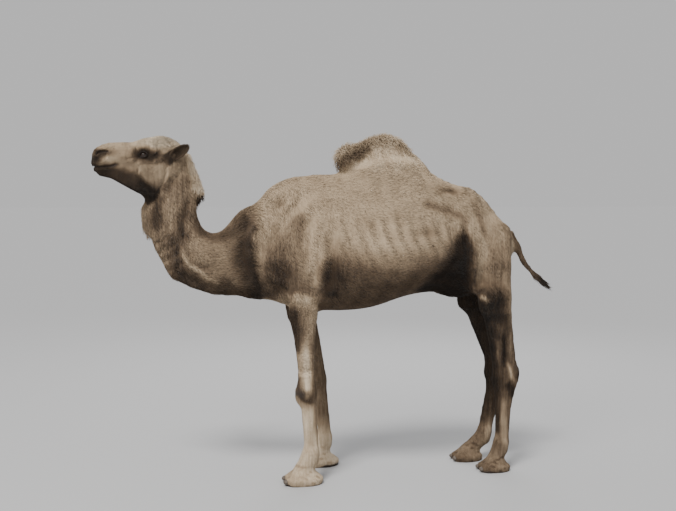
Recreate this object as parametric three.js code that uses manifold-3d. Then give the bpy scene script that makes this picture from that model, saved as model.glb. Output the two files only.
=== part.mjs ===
// A life-size standing dromedary, head held high and level, in named solids. Millimetres, +Z up.
// The head points to -X and the animal's left side faces -Y. It stands on the plane z = 0.
import * as THREE from "three";
import { mergeVertices } from "three/addons/utils/BufferGeometryUtils.js";
import Module from "manifold-3d";

const wasm = await Module();
wasm.setup();

// ---------------------------------------------------------------- driving dimensions

const GAP = 0.35; // air left at every cut between two pieces
const REACH = 620; // no flesh lies further than this from the axis of its own sleeve
const STEP = 6; // stride of the search for the surface
const HALVINGS = 12; // refinements of the surface after the stride that crossed it
const LEFT = -1;
const RIGHT = 1;

const NECK_ROOT_X = -865;
const RUMP_X = 712;
const TRUNK_AXIS_Z = 1346;
const NECK_AXIS_Z = 1336; // where the neck's axis meets the trunk
const HEAD_JOINT = { x: -1374, z: 1740, lean: 44 }; // plane between head and neck
const EYE = { x: -1502, y: 73, z: 1892, radius: 23 };
const FORE_TRACK = 182; // each forefoot's distance from the midline
const HIND_TRACK = 128;

// Where each leg's joints stand along the body, elbow or stifle first.
const STANCE = {
  left_fore: { top: -606, knee: -594, fetlock: -574, foot: -610 },
  right_fore: { top: -590, knee: -478, fetlock: -436, foot: -452 },
  left_hind: { top: 560, knee: 612, fetlock: 606, foot: 566 },
  right_hind: { top: 518, knee: 650, fetlock: 585, foot: 478 },
};

// The barrel of the body: belly line, back line and half width from the neck to the rump.
const BARREL = [
  { x: -900, low: 1062, high: 1580, half: 112 },
  { x: -780, low: 1042, high: 1732, half: 142 },
  { x: -640, low: 996, high: 1786, half: 172 },
  { x: -430, low: 976, high: 1800, half: 234 },
  { x: -200, low: 990, high: 1822, half: 290 },
  { x: 20, low: 1058, high: 1830, half: 306 },
  { x: 180, low: 1080, high: 1800, half: 284 },
  { x: 330, low: 1068, high: 1736, half: 236 },
  { x: 470, low: 1110, high: 1704, half: 188 },
  { x: 560, low: 1160, high: 1606, half: 150 },
  { x: 650, low: 1225, high: 1500, half: 106 },
  { x: 720, low: 1310, high: 1420, half: 50 },
];
const BARREL_FULLNESS = 2.15; // 2 is an ellipse, more is boxier
const BARREL_TAPER = 0.2; // the back is narrower than the belly by this share

// The axis of the neck from chest to head, with the flesh's depth about it. Each key is also a
// plane across the neck, which leans back by the given degrees.
const NECK = [
  { x: -860, z: 1336, depth: 272, lean: 0 },
  { x: -960, z: 1286, depth: 208, lean: 2 },
  { x: -1080, z: 1264, depth: 178, lean: 6 },
  { x: -1238, z: 1306, depth: 166, lean: 42 },
  { x: -1316, z: 1416, depth: 148, lean: 74 },
  { x: -1338, z: 1530, depth: 134, lean: 84 },
  { x: -1350, z: 1640, depth: 136, lean: 70 },
  { ...HEAD_JOINT, depth: 138 },
];
const NECK_FLATNESS = 0.56;
const NECK_SPLIT = 3.6; // the plane between them, counted along the keyed planes

// The axis of the head from the neck to the muzzle, and the planes across it.
const HEAD = [
  { ...HEAD_JOINT },
  { x: -1420, z: 1796, lean: 26 },
  { x: -1490, z: 1842, lean: 8 },
  { x: -1580, z: 1856, lean: 0 },
  { x: -1680, z: 1856, lean: -4 },
  { x: -1774, z: 1848, lean: -10 },
];

// The outline that takes the lower jaw off the skull, seen from the side.
const MOUTH = [
  [-1860, 1826],
  [-1652, 1842],
  [-1490, 1700],
  [-1490, 1560],
  [-1860, 1560],
];

// The middle of an ear, its turn from upright and its lean outward, and half its leaf's outline.
const EAR = {
  x: -1310,
  y: 103,
  z: 1912,
  turn: 58,
  splay: 24,
  flatness: 0.62, // of the leaf
  bowl: { scale: 0.86, flatness: 0.6, shift: 11 }, // the hollow on its open side
};
const EAR_LEAF = [
  [0, -58],
  [22, -42],
  [31, -12],
  [30, 14],
  [19, 44],
  [0, 66],
];

// The axis of the tail, and where along it the tuft begins.
const TAIL = [
  { x: 676, z: 1430, lean: -128 },
  { x: 738, z: 1352, lean: -122 },
  { x: 786, z: 1252, lean: -124 },
  { x: 846, z: 1184, lean: -135 },
  { x: 930, z: 1110, lean: -139 },
];
const TAIL_SPLIT = 2.6;

// The level cut that parts the hump from the back.
const HUMP_CUT = { from: -428, to: 258, z: 1797 };

// The horny pad under the chest.
const PAD = { x: -578, z: 990, size: [92, 68, 34] };

// Heights where each leg is parted, with the rings and sides that its parts are drawn on.
const FORE_PARTS = {
  shoulder: { from: 1580, to: 1080, rings: 11, sides: 12 },
  forearm: { from: 1080, to: 640, rings: 7, sides: 12 },
  shank: { from: 640, to: 120, rings: 11, sides: 12 },
  foot: { from: 120, to: 0, rings: 6, sides: 18 },
};
const HIND_PARTS = {
  thigh: { from: 1540, to: 980, rings: 11, sides: 12 },
  gaskin: { from: 980, to: 660, rings: 6, sides: 12 },
  shank: { from: 660, to: 112, rings: 11, sides: 12 },
  foot: { from: 112, to: 0, rings: 6, sides: 18 },
};

// ---------------------------------------------------------------- fields of flesh
// A field takes a point and says how far it lies outside the flesh, negative within it.

const radians = (degrees) => (degrees * Math.PI) / 180;
const mix = (a, b, t) => a + (b - a) * t;
const clamp = (v, low, high) => Math.min(high, Math.max(low, v));

// An ellipsoid, with its nose tipped up by tilt degrees and turned outward by yaw degrees.
function mass([cx, cy, cz], [rx, ry, rz], tilt = 0, yaw = 0) {
  const [ct, st] = [Math.cos(radians(tilt)), Math.sin(radians(tilt))];
  const [cw, sw] = [Math.cos(radians(yaw)), Math.sin(radians(yaw))];
  return (x, y, z) => {
    const [dx, dy, dz] = [x - cx, y - cy, z - cz];
    const [ax, ay] = [dx * cw + dy * sw, -dx * sw + dy * cw];
    const [bx, bz] = [ax * ct - dz * st, ax * st + dz * ct];
    const near = Math.hypot(bx / rx, ay / ry, bz / rz);
    const slope = Math.hypot(bx / rx ** 2, ay / ry ** 2, bz / rz ** 2);
    return slope < 1e-9 ? -Math.min(rx, ry, rz) : (near * (near - 1)) / slope;
  };
}

// A tapered limb between two points, squashed sideways.
function limb(a, b, ra, rb, squash = 1) {
  const along = b.map((v, i) => v - a[i]);
  const length2 = along.reduce((sum, v) => sum + v * v, 0);
  return (x, y, z) => {
    const s = ((x - a[0]) * along[0] + (y - a[1]) * along[1] + (z - a[2]) * along[2]) / length2;
    const t = clamp(s, 0, 1);
    const dy = (y - a[1] - t * along[1]) / squash;
    return Math.hypot(x - a[0] - t * along[0], dy, z - a[2] - t * along[2]) - mix(ra, rb, t);
  };
}

// Several fields flowing into each other over the given width.
function blend(width, ...fields) {
  return (x, y, z) => {
    let d = fields[0](x, y, z);
    for (let i = 1; i < fields.length; i += 1) {
      const e = fields[i](x, y, z);
      const h = Math.max(width - Math.abs(d - e), 0) / width;
      d = Math.min(d, e) - (h * h * width) / 4;
    }
    return d;
  };
}

// A field with a hollow pressed into it.
function hollow(width, field, tool) {
  return (x, y, z) => {
    const [d, e] = [field(x, y, z), -tool(x, y, z)];
    const h = Math.max(width - Math.abs(d - e), 0) / width;
    return Math.max(d, e) + (h * h * width) / 4;
  };
}

const both = (make) => [make(LEFT), make(RIGHT)];

// Reads a value off a row of stations, smoothly between them.
function follow(stations, key, value) {
  return (at) => {
    const last = stations.length - 1;
    let i = 0;
    while (i < last - 1 && at > stations[i + 1][key]) i += 1;
    const [a, b] = [stations[i], stations[i + 1]];
    const before = stations[Math.max(i - 1, 0)];
    const after = stations[Math.min(i + 2, last)];
    const span = b[key] - a[key];
    const t = clamp((at - a[key]) / span, 0, 1);
    const m0 = ((b[value] - before[value]) / (b[key] - before[key] || 1)) * span;
    const m1 = ((after[value] - a[value]) / (after[key] - a[key] || 1)) * span;
    const [t2, t3] = [t * t, t * t * t];
    return (
      (2 * t3 - 3 * t2 + 1) * a[value] + (t3 - 2 * t2 + t) * m0 +
      (3 * t2 - 2 * t3) * b[value] + (t3 - t2) * m1
    );
  };
}

// ---------------------------------------------------------------- the flesh itself

const lowOf = follow(BARREL, "x", "low");
const highOf = follow(BARREL, "x", "high");
const halfOf = follow(BARREL, "x", "half");

function barrel(px, y, z) {
  const x = clamp(px, BARREL[0].x, BARREL[BARREL.length - 1].x);
  const beyond = Math.abs(px - x);
  const [low, high] = [lowOf(x), highOf(x)];
  const middle = mix(low, high, 0.46);
  const dz = z - middle;
  const rise = dz / (dz > 0 ? high - middle : middle - low);
  const half = halfOf(x) * (1 - BARREL_TAPER * clamp(rise, -0.6, 1));
  const n = BARREL_FULLNESS;
  const share = (Math.abs(y / half) ** n + Math.abs(rise) ** n) ** (1 / n);
  const far = Math.hypot(y, dz);
  const outside = share < 1e-6 ? -half : far - far / share;
  return beyond > 0 ? Math.hypot(Math.max(outside, 0), beyond) + Math.min(outside, 0) / 9 : outside;
}

const hump = blend(
  60,
  mass([-84, 0, 1770], [262, 150, 200], -4),
  mass([-70, 0, 1850], [150, 92, 130], -10),
);

const neck = blend(
  30,
  ...NECK.slice(1).map((b, i) => {
    const a = NECK[i];
    return limb([a.x, 0, a.z], [b.x, 0, b.z], a.depth, b.depth, NECK_FLATNESS);
  }),
);

const skull = blend(
  26,
  mass([-1392, 0, 1902], [128, 84, 98], 6), // cranium
  mass([-1480, 0, 1908], [112, 82, 84], 0), // forehead
  limb([-1500, 0, 1908], [-1700, 0, 1908], 72, 58, 0.78), // bridge of the nose
  mass([-1744, 0, 1888], [60, 50, 54], -20), // nose pad
  mass([-1742, 0, 1858], [62, 48, 34], -10), // upper lip
  limb([-1640, 0, 1868], [-1520, 0, 1850], 40, 60, 0.95), // row of the upper teeth
  ...both((s) => mass([-1576, s * 46, 1884], [96, 30, 48], -3, s * 16)), // upper jaw
  ...both((s) => mass([-1500, s * 68, 1918], [70, 32, 34], 2, s * 4)), // brow
  ...both((s) => mass([-1440, s * 66, 1876], [104, 26, 30], 4)), // cheekbone
);

const jaw = blend(
  30,
  mass([-1738, 0, 1806], [54, 36, 28], 4), // chin and lower lip
  ...both((s) => limb([-1716, s * 12, 1806], [-1530, s * 44, 1726], 26, 58, 0.62)),
  ...both((s) => mass([-1450, s * 46, 1790], [104, 48, 118], -24)), // masseter
  mass([-1440, 0, 1730], [92, 70, 112], -36), // throat
  limb([-1706, 0, 1826], [-1560, 0, 1776], 24, 66, 0.7), // floor of the mouth
);

const head = hollow(
  10,
  blend(24, skull, jaw, mass([-1366, 0, 1790], [120, 92, 110], 0)),
  blend(4, ...both((s) => mass([-1503, s * 107, 1892], [38, 22, 26], -6))), // eye socket
);

const hips = both((s) => mass([404, s * 116, 1612], [92, 54, 58], -16, s * -14));
const flanks = both((s) => mass([352, s * 104, 1096], [116, 50, 62], -8, s * 10));
const torso = blend(46, barrel, hump, blend(10, ...hips), blend(10, ...flanks));
const body = blend(70, torso, blend(36, neck, head));

// Heights are above the ground; the stance gives each joint's place along the body.
function foreleg(side, stance) {
  const y = side * FORE_TRACK;
  const { top, knee, fetlock, foot } = stance;
  return blend(
    26,
    limb([-566, side * 92, 1590], [-752, side * 122, 1300], 86, 104, 0.72), // shoulder blade
    mass([-752, side * 118, 1262], [86, 74, 138], 14), // point of the shoulder
    mass([-628, side * 132, 1250], [112, 82, 180], -14), // triceps
    limb([top - 14, side * 152, 1130], [knee, y, 620], 84, 50, 0.8), // forearm
    mass([top - 40, side * 160, 990], [52, 50, 140], -4),
    mass([top + 34, side * 162, 1010], [52, 44, 130], 4),
    mass([knee, y, 546], [62, 54, 76]), // knee
    mass([knee - 44, y, 526], [30, 44, 58], 6), // knee pad
    limb([knee + 4, y, 480], [fetlock, y, 200], 44, 38, 0.84), // shank
    limb([knee + 38, y, 540], [fetlock + 26, y, 190], 20, 20, 1), // tendons
    mass([fetlock, y, 152], [56, 52, 52]), // fetlock
    limb([fetlock, y, 150], [foot - 16, y, 62], 50, 56, 0.98), // pastern
    mass([foot + 24, y, 18], [88, 84, 56]), // heel pad
    mass([foot - 44, y - 40, 20], [78, 50, 46], 0, -4), // toes
    mass([foot - 44, y + 40, 20], [78, 50, 46], 0, 4),
  );
}

function hindleg(side, stance) {
  const y = side * HIND_TRACK;
  const { top, knee, fetlock, foot } = stance;
  return blend(
    30,
    limb([500, side * 64, 1560], [top - 24, side * 116, 1250], 62, 112, 0.82), // thigh
    limb([594, side * 84, 1440], [top + 40, side * 124, 1000], 84, 66, 0.9), // buttock
    mass([top - 66, side * 150, 1050], [62, 56, 104], 8), // stifle
    limb([top - 6, side * 146, 1070], [knee - 20, y, 650], 97, 53, 0.74), // gaskin
    limb([top + 66, side * 132, 920], [knee + 70, y, 640], 40, 24, 0.9), // hamstring cord
    limb([top + 50, side * 132, 860], [knee + 42, y, 600], 40, 40, 0.5), // web before the cord
    mass([knee - 12, y, 562], [66, 52, 86], 4), // hock
    limb([knee + 98, y, 592], [knee + 40, y, 468], 30, 32, 0.95), // point of the hock
    limb([knee - 2, y, 490], [fetlock - 6, y, 196], 47, 38, 0.84), // shank
    limb([knee + 38, y, 470], [fetlock + 26, y, 186], 24, 18, 1),
    mass([fetlock - 4, y, 146], [50, 46, 50]), // fetlock
    limb([fetlock - 6, y, 144], [foot - 8, y, 58], 44, 48, 0.98), // pastern
    mass([foot + 18, y, 16], [78, 72, 50]), // heel pad
    mass([foot - 38, y - 34, 18], [68, 43, 42], 0, -4), // toes
    mass([foot - 38, y + 34, 18], [68, 43, 42], 0, 4),
  );
}

// The longer hair, as the space that it fills.
const humpWool = blend(
  50,
  mass([-108, 0, 1852], [190, 124, 188]),
  mass([-308, 0, 1880], [106, 82, 94], 38),
);
const napeMane = blend(
  30,
  limb([-1272, 0, 1900], [-1208, 0, 1720], 36, 44, 0.9),
  mass([-1192, 0, 1668], [40, 34, 52], 20),
);
const throatFringe = mass([-1492, 0, 1540], [46, 26, 112], -4);
const tail = blend(
  20,
  limb([664, 0, 1442], [738, 0, 1352], 44, 24),
  limb([738, 0, 1352], [786, 0, 1252], 24, 17),
  limb([786, 0, 1252], [846, 0, 1184], 17, 17),
  mass([890, 0, 1146], [80, 20, 21], 41),
);

// ---------------------------------------------------------------- sleeves: solids drawn over a field

// How far the surface of a field lies from a point within it, along a direction.
function reachOf(field, [x, y, z], [dx, dy, dz], level) {
  let [near, far] = [0, 0];
  while (far < REACH && field(x + dx * far, y + dy * far, z + dz * far) < level) {
    near = far;
    far += STEP;
  }
  for (let i = 0; i < HALVINGS; i += 1) {
    const half = (near + far) / 2;
    if (field(x + dx * half, y + dy * half, z + dz * half) < level) near = half;
    else far = half;
  }
  return near;
}

// A ring is a plane through the flesh: its centre and the two directions that span it.
const leaningRing = (x, z, lean, y = 0) => ({
  at: [x, y, z],
  across: [0, 1, 0],
  up: [Math.sin(radians(lean)), 0, Math.cos(radians(lean))],
  ahead: [-Math.cos(radians(lean)), 0, Math.sin(radians(lean))],
});
const levelRing = (x, y, z) => ({
  at: [x, y, z],
  across: [0, 1, 0],
  up: [1, 0, 0],
  ahead: [0, 0, -1],
});

const onward = ({ at, ahead }, distance) => at.map((v, i) => v + ahead[i] * distance);
const pushed = (ring, distance) => ({ ...ring, at: onward(ring, distance) });

// Turns a closed three.js geometry into a solid for joining and cutting.
function solidOf(geometry) {
  const bare = geometry.clone();
  bare.deleteAttribute("normal");
  bare.deleteAttribute("uv");
  const merged = mergeVertices(bare, 1e-3);
  return new wasm.Manifold(
    new wasm.Mesh({
      numProp: 3,
      vertProperties: merged.attributes.position.array,
      triVerts: new Uint32Array(merged.index.array),
    }),
  );
}

// One closed solid through all the rings. Its last end is flat, or pointed where the flesh ends.
function sleeve(rings, field, { sides, flatten = 1, level = 0, pointed = false }) {
  const positions = [];
  const index = [];
  for (const ring of rings) {
    for (let s = 0; s < sides; s += 1) {
      const angle = (2 * Math.PI * (s + 0.5)) / sides;
      const [c, u] = [Math.cos(angle) * flatten, Math.sin(angle)];
      const scale = 1 / Math.hypot(c, u);
      const way = ring.up.map((v, i) => (v * u + ring.across[i] * c) * scale);
      const distance = reachOf(field, ring.at, way, level);
      positions.push(...ring.at.map((v, i) => v + way[i] * distance));
    }
  }
  const last = rings[rings.length - 1];
  const tip = pointed ? onward(last, reachOf(field, last.at, last.ahead, level)) : last.at;
  positions.push(...rings[0].at, ...tip);
  const [startCentre, endCentre] = [rings.length * sides, rings.length * sides + 1];
  for (let r = 0; r < rings.length; r += 1) {
    for (let s = 0; s < sides; s += 1) {
      const [a, b] = [r * sides + s, r * sides + ((s + 1) % sides)];
      if (r === 0) index.push(startCentre, a, b);
      if (r === rings.length - 1) index.push(endCentre, b, a);
      else index.push(a, a + sides, b, b, a + sides, b + sides);
    }
  }
  const geometry = new THREE.BufferGeometry();
  geometry.setAttribute("position", new THREE.Float32BufferAttribute(positions, 3));
  geometry.setIndex(index);
  const made = solidOf(geometry);
  if (made.volume() > 0) return made;
  for (let i = 0; i < index.length; i += 3) index.splice(i, 3, index[i], index[i + 2], index[i + 1]);
  geometry.setIndex(index);
  return solidOf(geometry);
}

// Rings evenly spaced along a row of keyed planes.
function ringsAlong(keys, count, from, to) {
  const keyed = keys.map((k, i) => ({ ...k, i }));
  const [xOf, zOf, leanOf] = ["x", "z", "lean"].map((v) => follow(keyed, "i", v));
  return Array.from({ length: count }, (_, n) => {
    const t = mix(from, to, n / (count - 1));
    return leaningRing(xOf(t), zOf(t), leanOf(t));
  });
}

const largest = (solid) =>
  solid.decompose().reduce((best, s) => (s.volume() > best.volume() ? s : best));

// ---------------------------------------------------------------- finishes

const finish = (color, roughness) => new THREE.MeshStandardMaterial({ color, roughness, metalness: 0 });
const coat = finish("#a8937a", 0.95);
const paleCoat = finish("#c3b39b", 0.95);
const darkCoat = finish("#5d4c3e", 0.95);
const wool = finish("#b9a88e", 1);
const callus = finish("#5a4a3f", 0.85);
const horn = finish("#3a322c", 0.5);
const eyeball = finish("#20150f", 0.08);

// ---------------------------------------------------------------- assembly

const camel = new THREE.Group();

function add(name, solid, material) {
  const { vertProperties, triVerts } = solid.getMesh();
  const geometry = new THREE.BufferGeometry();
  geometry.setAttribute("position", new THREE.BufferAttribute(vertProperties, 3));
  geometry.setIndex(new THREE.BufferAttribute(triVerts, 1));
  geometry.computeVertexNormals();
  const mesh = new THREE.Mesh(geometry, material);
  mesh.name = name;
  camel.add(mesh);
  return mesh;
}

function ellipsoid([x, y, z], [rx, ry, rz], across, down) {
  const geometry = new THREE.SphereGeometry(1, across, down);
  geometry.scale(rx, ry, rz).translate(x, y, z);
  return solidOf(geometry);
}

// Box and prism tools for parting a solid.
function block([x0, y0, z0], [x1, y1, z1]) {
  const geometry = new THREE.BoxGeometry(x1 - x0, y1 - y0, z1 - z0);
  geometry.translate((x0 + x1) / 2, (y0 + y1) / 2, (z0 + z1) / 2);
  return solidOf(geometry);
}
function sideProfile(points, halfWidth, shift = 0) {
  const shape = new THREE.Shape(points.map(([x, z]) => new THREE.Vector2(x + shift, z + shift)));
  const geometry = new THREE.ExtrudeGeometry(shape, { depth: 2 * halfWidth, bevelEnabled: false });
  geometry.rotateX(Math.PI / 2).translate(0, halfWidth, 0);
  return solidOf(geometry);
}

// The trunk, on vertical rings from the root of the neck to the rump. A number of sides that is
// not a multiple of four puts a corner on the ridge of the back.
const TRUNK_SIDES = 26;
const TRUNK_RINGS = 20;
const TRUNK_TIP = 30; // from the last ring to the rump
const trunkRings = Array.from({ length: TRUNK_RINGS }, (_, n) => {
  const x = mix(NECK_ROOT_X + GAP, RUMP_X - TRUNK_TIP, n / (TRUNK_RINGS - 1));
  return leaningRing(x, TRUNK_AXIS_Z, 180);
});
const trunkSolid = (level) =>
  sleeve(trunkRings, body, { sides: TRUNK_SIDES, level, pointed: true });
const wholeTrunk = trunkSolid(0);
const trunkCutter = trunkSolid(GAP);

// The hump comes off the back on a level cut.
function humpBlock(inset) {
  const low = [HUMP_CUT.from + inset, -REACH, HUMP_CUT.z + inset];
  return block(low, [HUMP_CUT.to - inset, REACH, HUMP_CUT.z + REACH]);
}
add("trunk", wholeTrunk.subtract(humpBlock(0)), coat);
add("hump", wholeTrunk.intersect(humpBlock(GAP)), coat);

const WOOL_RINGS = 10;
const woolRings = Array.from({ length: WOOL_RINGS }, (_, n) => {
  const share = n / (WOOL_RINGS - 1);
  return leaningRing(mix(-392, 66, share), mix(1872, 1858, share), 180);
});
const wholeWool = sleeve(woolRings, humpWool, { sides: 14, pointed: true });
add("hump_wool", largest(wholeWool.subtract(trunkCutter)), wool);

const pad = ellipsoid([PAD.x, 0, PAD.z], PAD.size, 12, 6);
add("chest_pad", largest(pad.subtract(trunkCutter)), callus);

// The neck, in two lengths.
const neckOptions = { sides: 18, flatten: 0.7 };
const lowerNeckRings = ringsAlong(NECK, 8, 0, NECK_SPLIT);
const upperNeckRings = ringsAlong(NECK, 8, NECK_SPLIT, NECK.length - 1);
lowerNeckRings[0] = leaningRing(NECK_ROOT_X, NECK_AXIS_Z, 0);
upperNeckRings[0] = pushed(upperNeckRings[0], GAP);
add("lower_neck", sleeve(lowerNeckRings, body, neckOptions), coat);
const upperNeck = sleeve(upperNeckRings, body, neckOptions);
add("upper_neck", upperNeck, coat);
const pastNeck = pushed(upperNeckRings[upperNeckRings.length - 1], GAP);
const upperNeckCutter = sleeve([...upperNeckRings, pastNeck], body, { ...neckOptions, level: GAP });

// The head, on rings that fan from the neck joint to the muzzle.
const headRings = ringsAlong(HEAD, 21, 0, HEAD.length - 1);
const headOptions = { sides: 20, flatten: 0.8, pointed: true };
const headCutter = sleeve(headRings, body, { ...headOptions, level: GAP });
headRings[0] = pushed(headRings[0], GAP);
const wholeHead = sleeve(headRings, body, headOptions);
const eye = (side, grown) =>
  ellipsoid([EYE.x, side * EYE.y, EYE.z], Array(3).fill(EYE.radius + grown), 10, 8);
const socketed = wholeHead.subtract(eye(LEFT, GAP)).subtract(eye(RIGHT, GAP));
add("left_eye", eye(LEFT, 0), eyeball);
add("right_eye", eye(RIGHT, 0), eyeball);

// The lower jaw is parted along the mouth and down behind the chin.
const HEAD_HALF_WIDTH = 150; // more than the head's own
const jawTool = (shift) => sideProfile(MOUTH, HEAD_HALF_WIDTH, shift);
add("head", socketed.subtract(jawTool(GAP)), coat);
add("lower_jaw", largest(socketed.intersect(jawTool(0))), darkCoat);

// An ear is a leaf turned on a lathe, flattened, and hollowed from its open side.
function leaf(scale, flatness, shift) {
  const outline = EAR_LEAF.map(([r, h]) => new THREE.Vector2(r * scale, h * scale));
  const geometry = new THREE.LatheGeometry(outline, 8);
  geometry.scale(1, 1, flatness).translate(0, 0, shift).rotateX(Math.PI / 2);
  geometry.rotateY(radians(EAR.turn)).rotateX(radians(EAR.splay));
  return solidOf(geometry.translate(EAR.x, -EAR.y, EAR.z));
}
const leftEar = largest(
  leaf(1, EAR.flatness, 0)
    .subtract(leaf(EAR.bowl.scale, EAR.bowl.flatness, EAR.bowl.shift))
    .subtract(headCutter)
    .subtract(upperNeckCutter),
);
add("left_ear", leftEar, coat);
add("right_ear", leftEar.mirror([0, 1, 0]), coat);

// The hair of nape and throat, laid against head and neck.
const NAPE_RINGS = 7;
const napeRings = Array.from({ length: NAPE_RINGS }, (_, n) => {
  const share = n / (NAPE_RINGS - 1);
  return leaningRing(mix(-1266, -1190, share), mix(1916, 1640, share), -102);
});
const nape = sleeve(napeRings, napeMane, { sides: 8, pointed: true });
add("nape_mane", largest(nape.subtract(upperNeckCutter).subtract(headCutter)), wool);
const FRINGE_RINGS = 6;
const fringeRings = Array.from({ length: FRINGE_RINGS }, (_, n) =>
  levelRing(-1492, 0, mix(1632, 1446, n / (FRINGE_RINGS - 1))),
);
const fringe = sleeve(fringeRings, throatFringe, { sides: 8, pointed: true });
add("throat_fringe", largest(fringe.subtract(upperNeckCutter).subtract(headCutter)), wool);

// The tail hangs back from the rump: a bare dock and a tuft.
const dockRings = ringsAlong(TAIL, 8, 0, TAIL_SPLIT);
const tuftRings = ringsAlong(TAIL, 7, TAIL_SPLIT, TAIL.length - 1);
tuftRings[0] = pushed(tuftRings[0], GAP);
const tailOptions = { sides: 8 };
add("tail_dock", largest(sleeve(dockRings, tail, tailOptions).subtract(trunkCutter)), coat);
add("tail_tuft", sleeve(tuftRings, tail, { ...tailOptions, pointed: true }), darkCoat);

// The legs, on level rings, trimmed by the trunk and parted at the joints.
const TRUNK_LOW = 980; // lowest point of the trunk
function leg(name, field, path, parts, nails) {
  const xOf = follow(path, "z", "x");
  const yOf = follow(path, "z", "y");
  for (const [part, { from, to, rings, sides }] of Object.entries(parts)) {
    const planes = Array.from({ length: rings }, (_, n) => {
      const z = mix(from - GAP, to, n / (rings - 1));
      return levelRing(xOf(z), yOf(z), z);
    });
    const solid = sleeve(planes, field, { sides });
    const trimmed = from > TRUNK_LOW ? largest(solid.subtract(trunkCutter)) : solid;
    add(`${name}_${part}`, trimmed, part === "foot" ? paleCoat : coat);
    if (part !== "foot") continue;
    const footCutter = sleeve(planes, field, { sides, level: GAP });
    for (const [nail, { x, y, z, size }] of Object.entries(nails)) {
      const whole = ellipsoid([x, y, z], size, 8, 5).subtract(footCutter);
      add(`${name}_${nail}_nail`, largest(whole), horn);
    }
  }
}

for (const [side, sideName] of [[LEFT, "left"], [RIGHT, "right"]]) {
  const nailsOf = (foot, y, reach, spread, size) => ({
    outer: { x: foot - reach, y: y + side * spread, z: size[2] + 4, size },
    inner: { x: foot - reach, y: y - side * spread, z: size[2] + 4, size },
  });
  const fore = STANCE[`${sideName}_fore`];
  const foreY = side * FORE_TRACK;
  leg(
    `${sideName}_fore`,
    foreleg(side, fore),
    [
      { z: 0, x: fore.foot, y: foreY },
      { z: 60, x: fore.foot, y: foreY },
      { z: 150, x: fore.fetlock, y: foreY },
      { z: 540, x: fore.knee, y: foreY },
      { z: 1000, x: fore.top, y: side * 160 },
      { z: 1200, x: -680, y: side * 134 },
      { z: 1640, x: -584, y: side * 84 },
    ],
    FORE_PARTS,
    nailsOf(fore.foot, foreY, 112, 40, [20, 21, 17]),
  );
  const hind = STANCE[`${sideName}_hind`];
  const hindY = side * HIND_TRACK;
  leg(
    `${sideName}_hind`,
    hindleg(side, hind),
    [
      { z: 0, x: hind.foot, y: hindY },
      { z: 58, x: hind.foot, y: hindY },
      { z: 146, x: hind.fetlock, y: hindY },
      { z: 480, x: hind.knee, y: hindY },
      { z: 660, x: hind.knee + 10, y: hindY },
      { z: 1060, x: hind.top - 10, y: side * 136 },
      { z: 1340, x: 540, y: side * 104 },
      { z: 1560, x: 504, y: side * 66 },
    ],
    HIND_PARTS,
    nailsOf(hind.foot, hindY, 98, 34, [17, 18, 15]),
  );
}

// The origin lies under the middle of the whole animal.
const bounds = new THREE.Box3().setFromObject(camel);
const middle = bounds.getCenter(new THREE.Vector3());
for (const { geometry } of camel.children) geometry.translate(-middle.x, -middle.y, -bounds.min.z);

export default camel;
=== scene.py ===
# %% [markdown]
# # A standing dromedary
# This lesson dresses a life-size one-humped camel. The frame that it starts from holds the animal's
# flesh as plain faceted solids. Here they turn into one living skin with lids, lips and tendons,
# covered by some two hundred thousand small tufts of hair that lie as a camel's coat lies.
# The animal looks to -X, its left side faces -Y, and it stands on z = 0. All sizes are in metres.

import math

import bmesh
import bpy
import numpy as np
from mathutils import Matrix, Vector
from mathutils.bvhtree import BVHTree


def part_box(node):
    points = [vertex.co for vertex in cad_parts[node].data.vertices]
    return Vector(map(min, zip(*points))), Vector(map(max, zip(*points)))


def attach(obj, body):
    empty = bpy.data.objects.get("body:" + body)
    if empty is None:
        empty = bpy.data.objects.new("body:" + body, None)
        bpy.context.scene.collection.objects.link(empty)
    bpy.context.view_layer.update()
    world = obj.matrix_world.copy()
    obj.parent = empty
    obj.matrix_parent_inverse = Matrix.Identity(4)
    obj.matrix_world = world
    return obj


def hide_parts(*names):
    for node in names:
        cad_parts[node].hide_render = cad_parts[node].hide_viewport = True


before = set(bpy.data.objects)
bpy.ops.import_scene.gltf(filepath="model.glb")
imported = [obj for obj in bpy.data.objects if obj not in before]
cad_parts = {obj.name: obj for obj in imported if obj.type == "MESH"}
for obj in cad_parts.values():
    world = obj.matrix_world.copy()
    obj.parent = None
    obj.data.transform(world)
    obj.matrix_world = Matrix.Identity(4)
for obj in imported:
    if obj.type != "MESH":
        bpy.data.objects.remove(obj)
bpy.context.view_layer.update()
scene = bpy.context.scene
SIDES = (-1, 1)  # left and right
SIDE_NAMES = {-1: "left", 1: "right"}


# %% [markdown]
# Landmarks come first, read from the boxes of the solids: an eye is the middle of its solid, the lips
# are the front end of the head's, and the neck's root is the front end of the trunk's.

# %% Landmarks
def middle(node):
    low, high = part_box(node)
    return (low + high) / 2


EYE = {side: middle(f"{SIDE_NAMES[side]}_eye") for side in SIDES}
EYE_RADIUS = (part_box("left_eye")[1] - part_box("left_eye")[0]).z / 2
LIPS_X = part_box("head")[0].x
NECK_ROOT_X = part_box("trunk")[0].x
LEGS = {}
for side in SIDES:
    for end, upper in (("fore", "forearm"), ("hind", "gaskin")):
        LEGS[f"{SIDE_NAMES[side]}_{end}"] = {"side": side, "end": end, "upper": upper}
print("eye radius", round(EYE_RADIUS, 4), "and lips at", round(LIPS_X, 3))

# %% [markdown]
# The camera stands at a person's eye height, about five and a half metres off the animal's left side
# and nearer its head, so that the head end looks slightly larger than the rump. A wide pale floor, a
# soft sun high on the left, one broad lamp in front and one behind make a studio for it.

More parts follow.
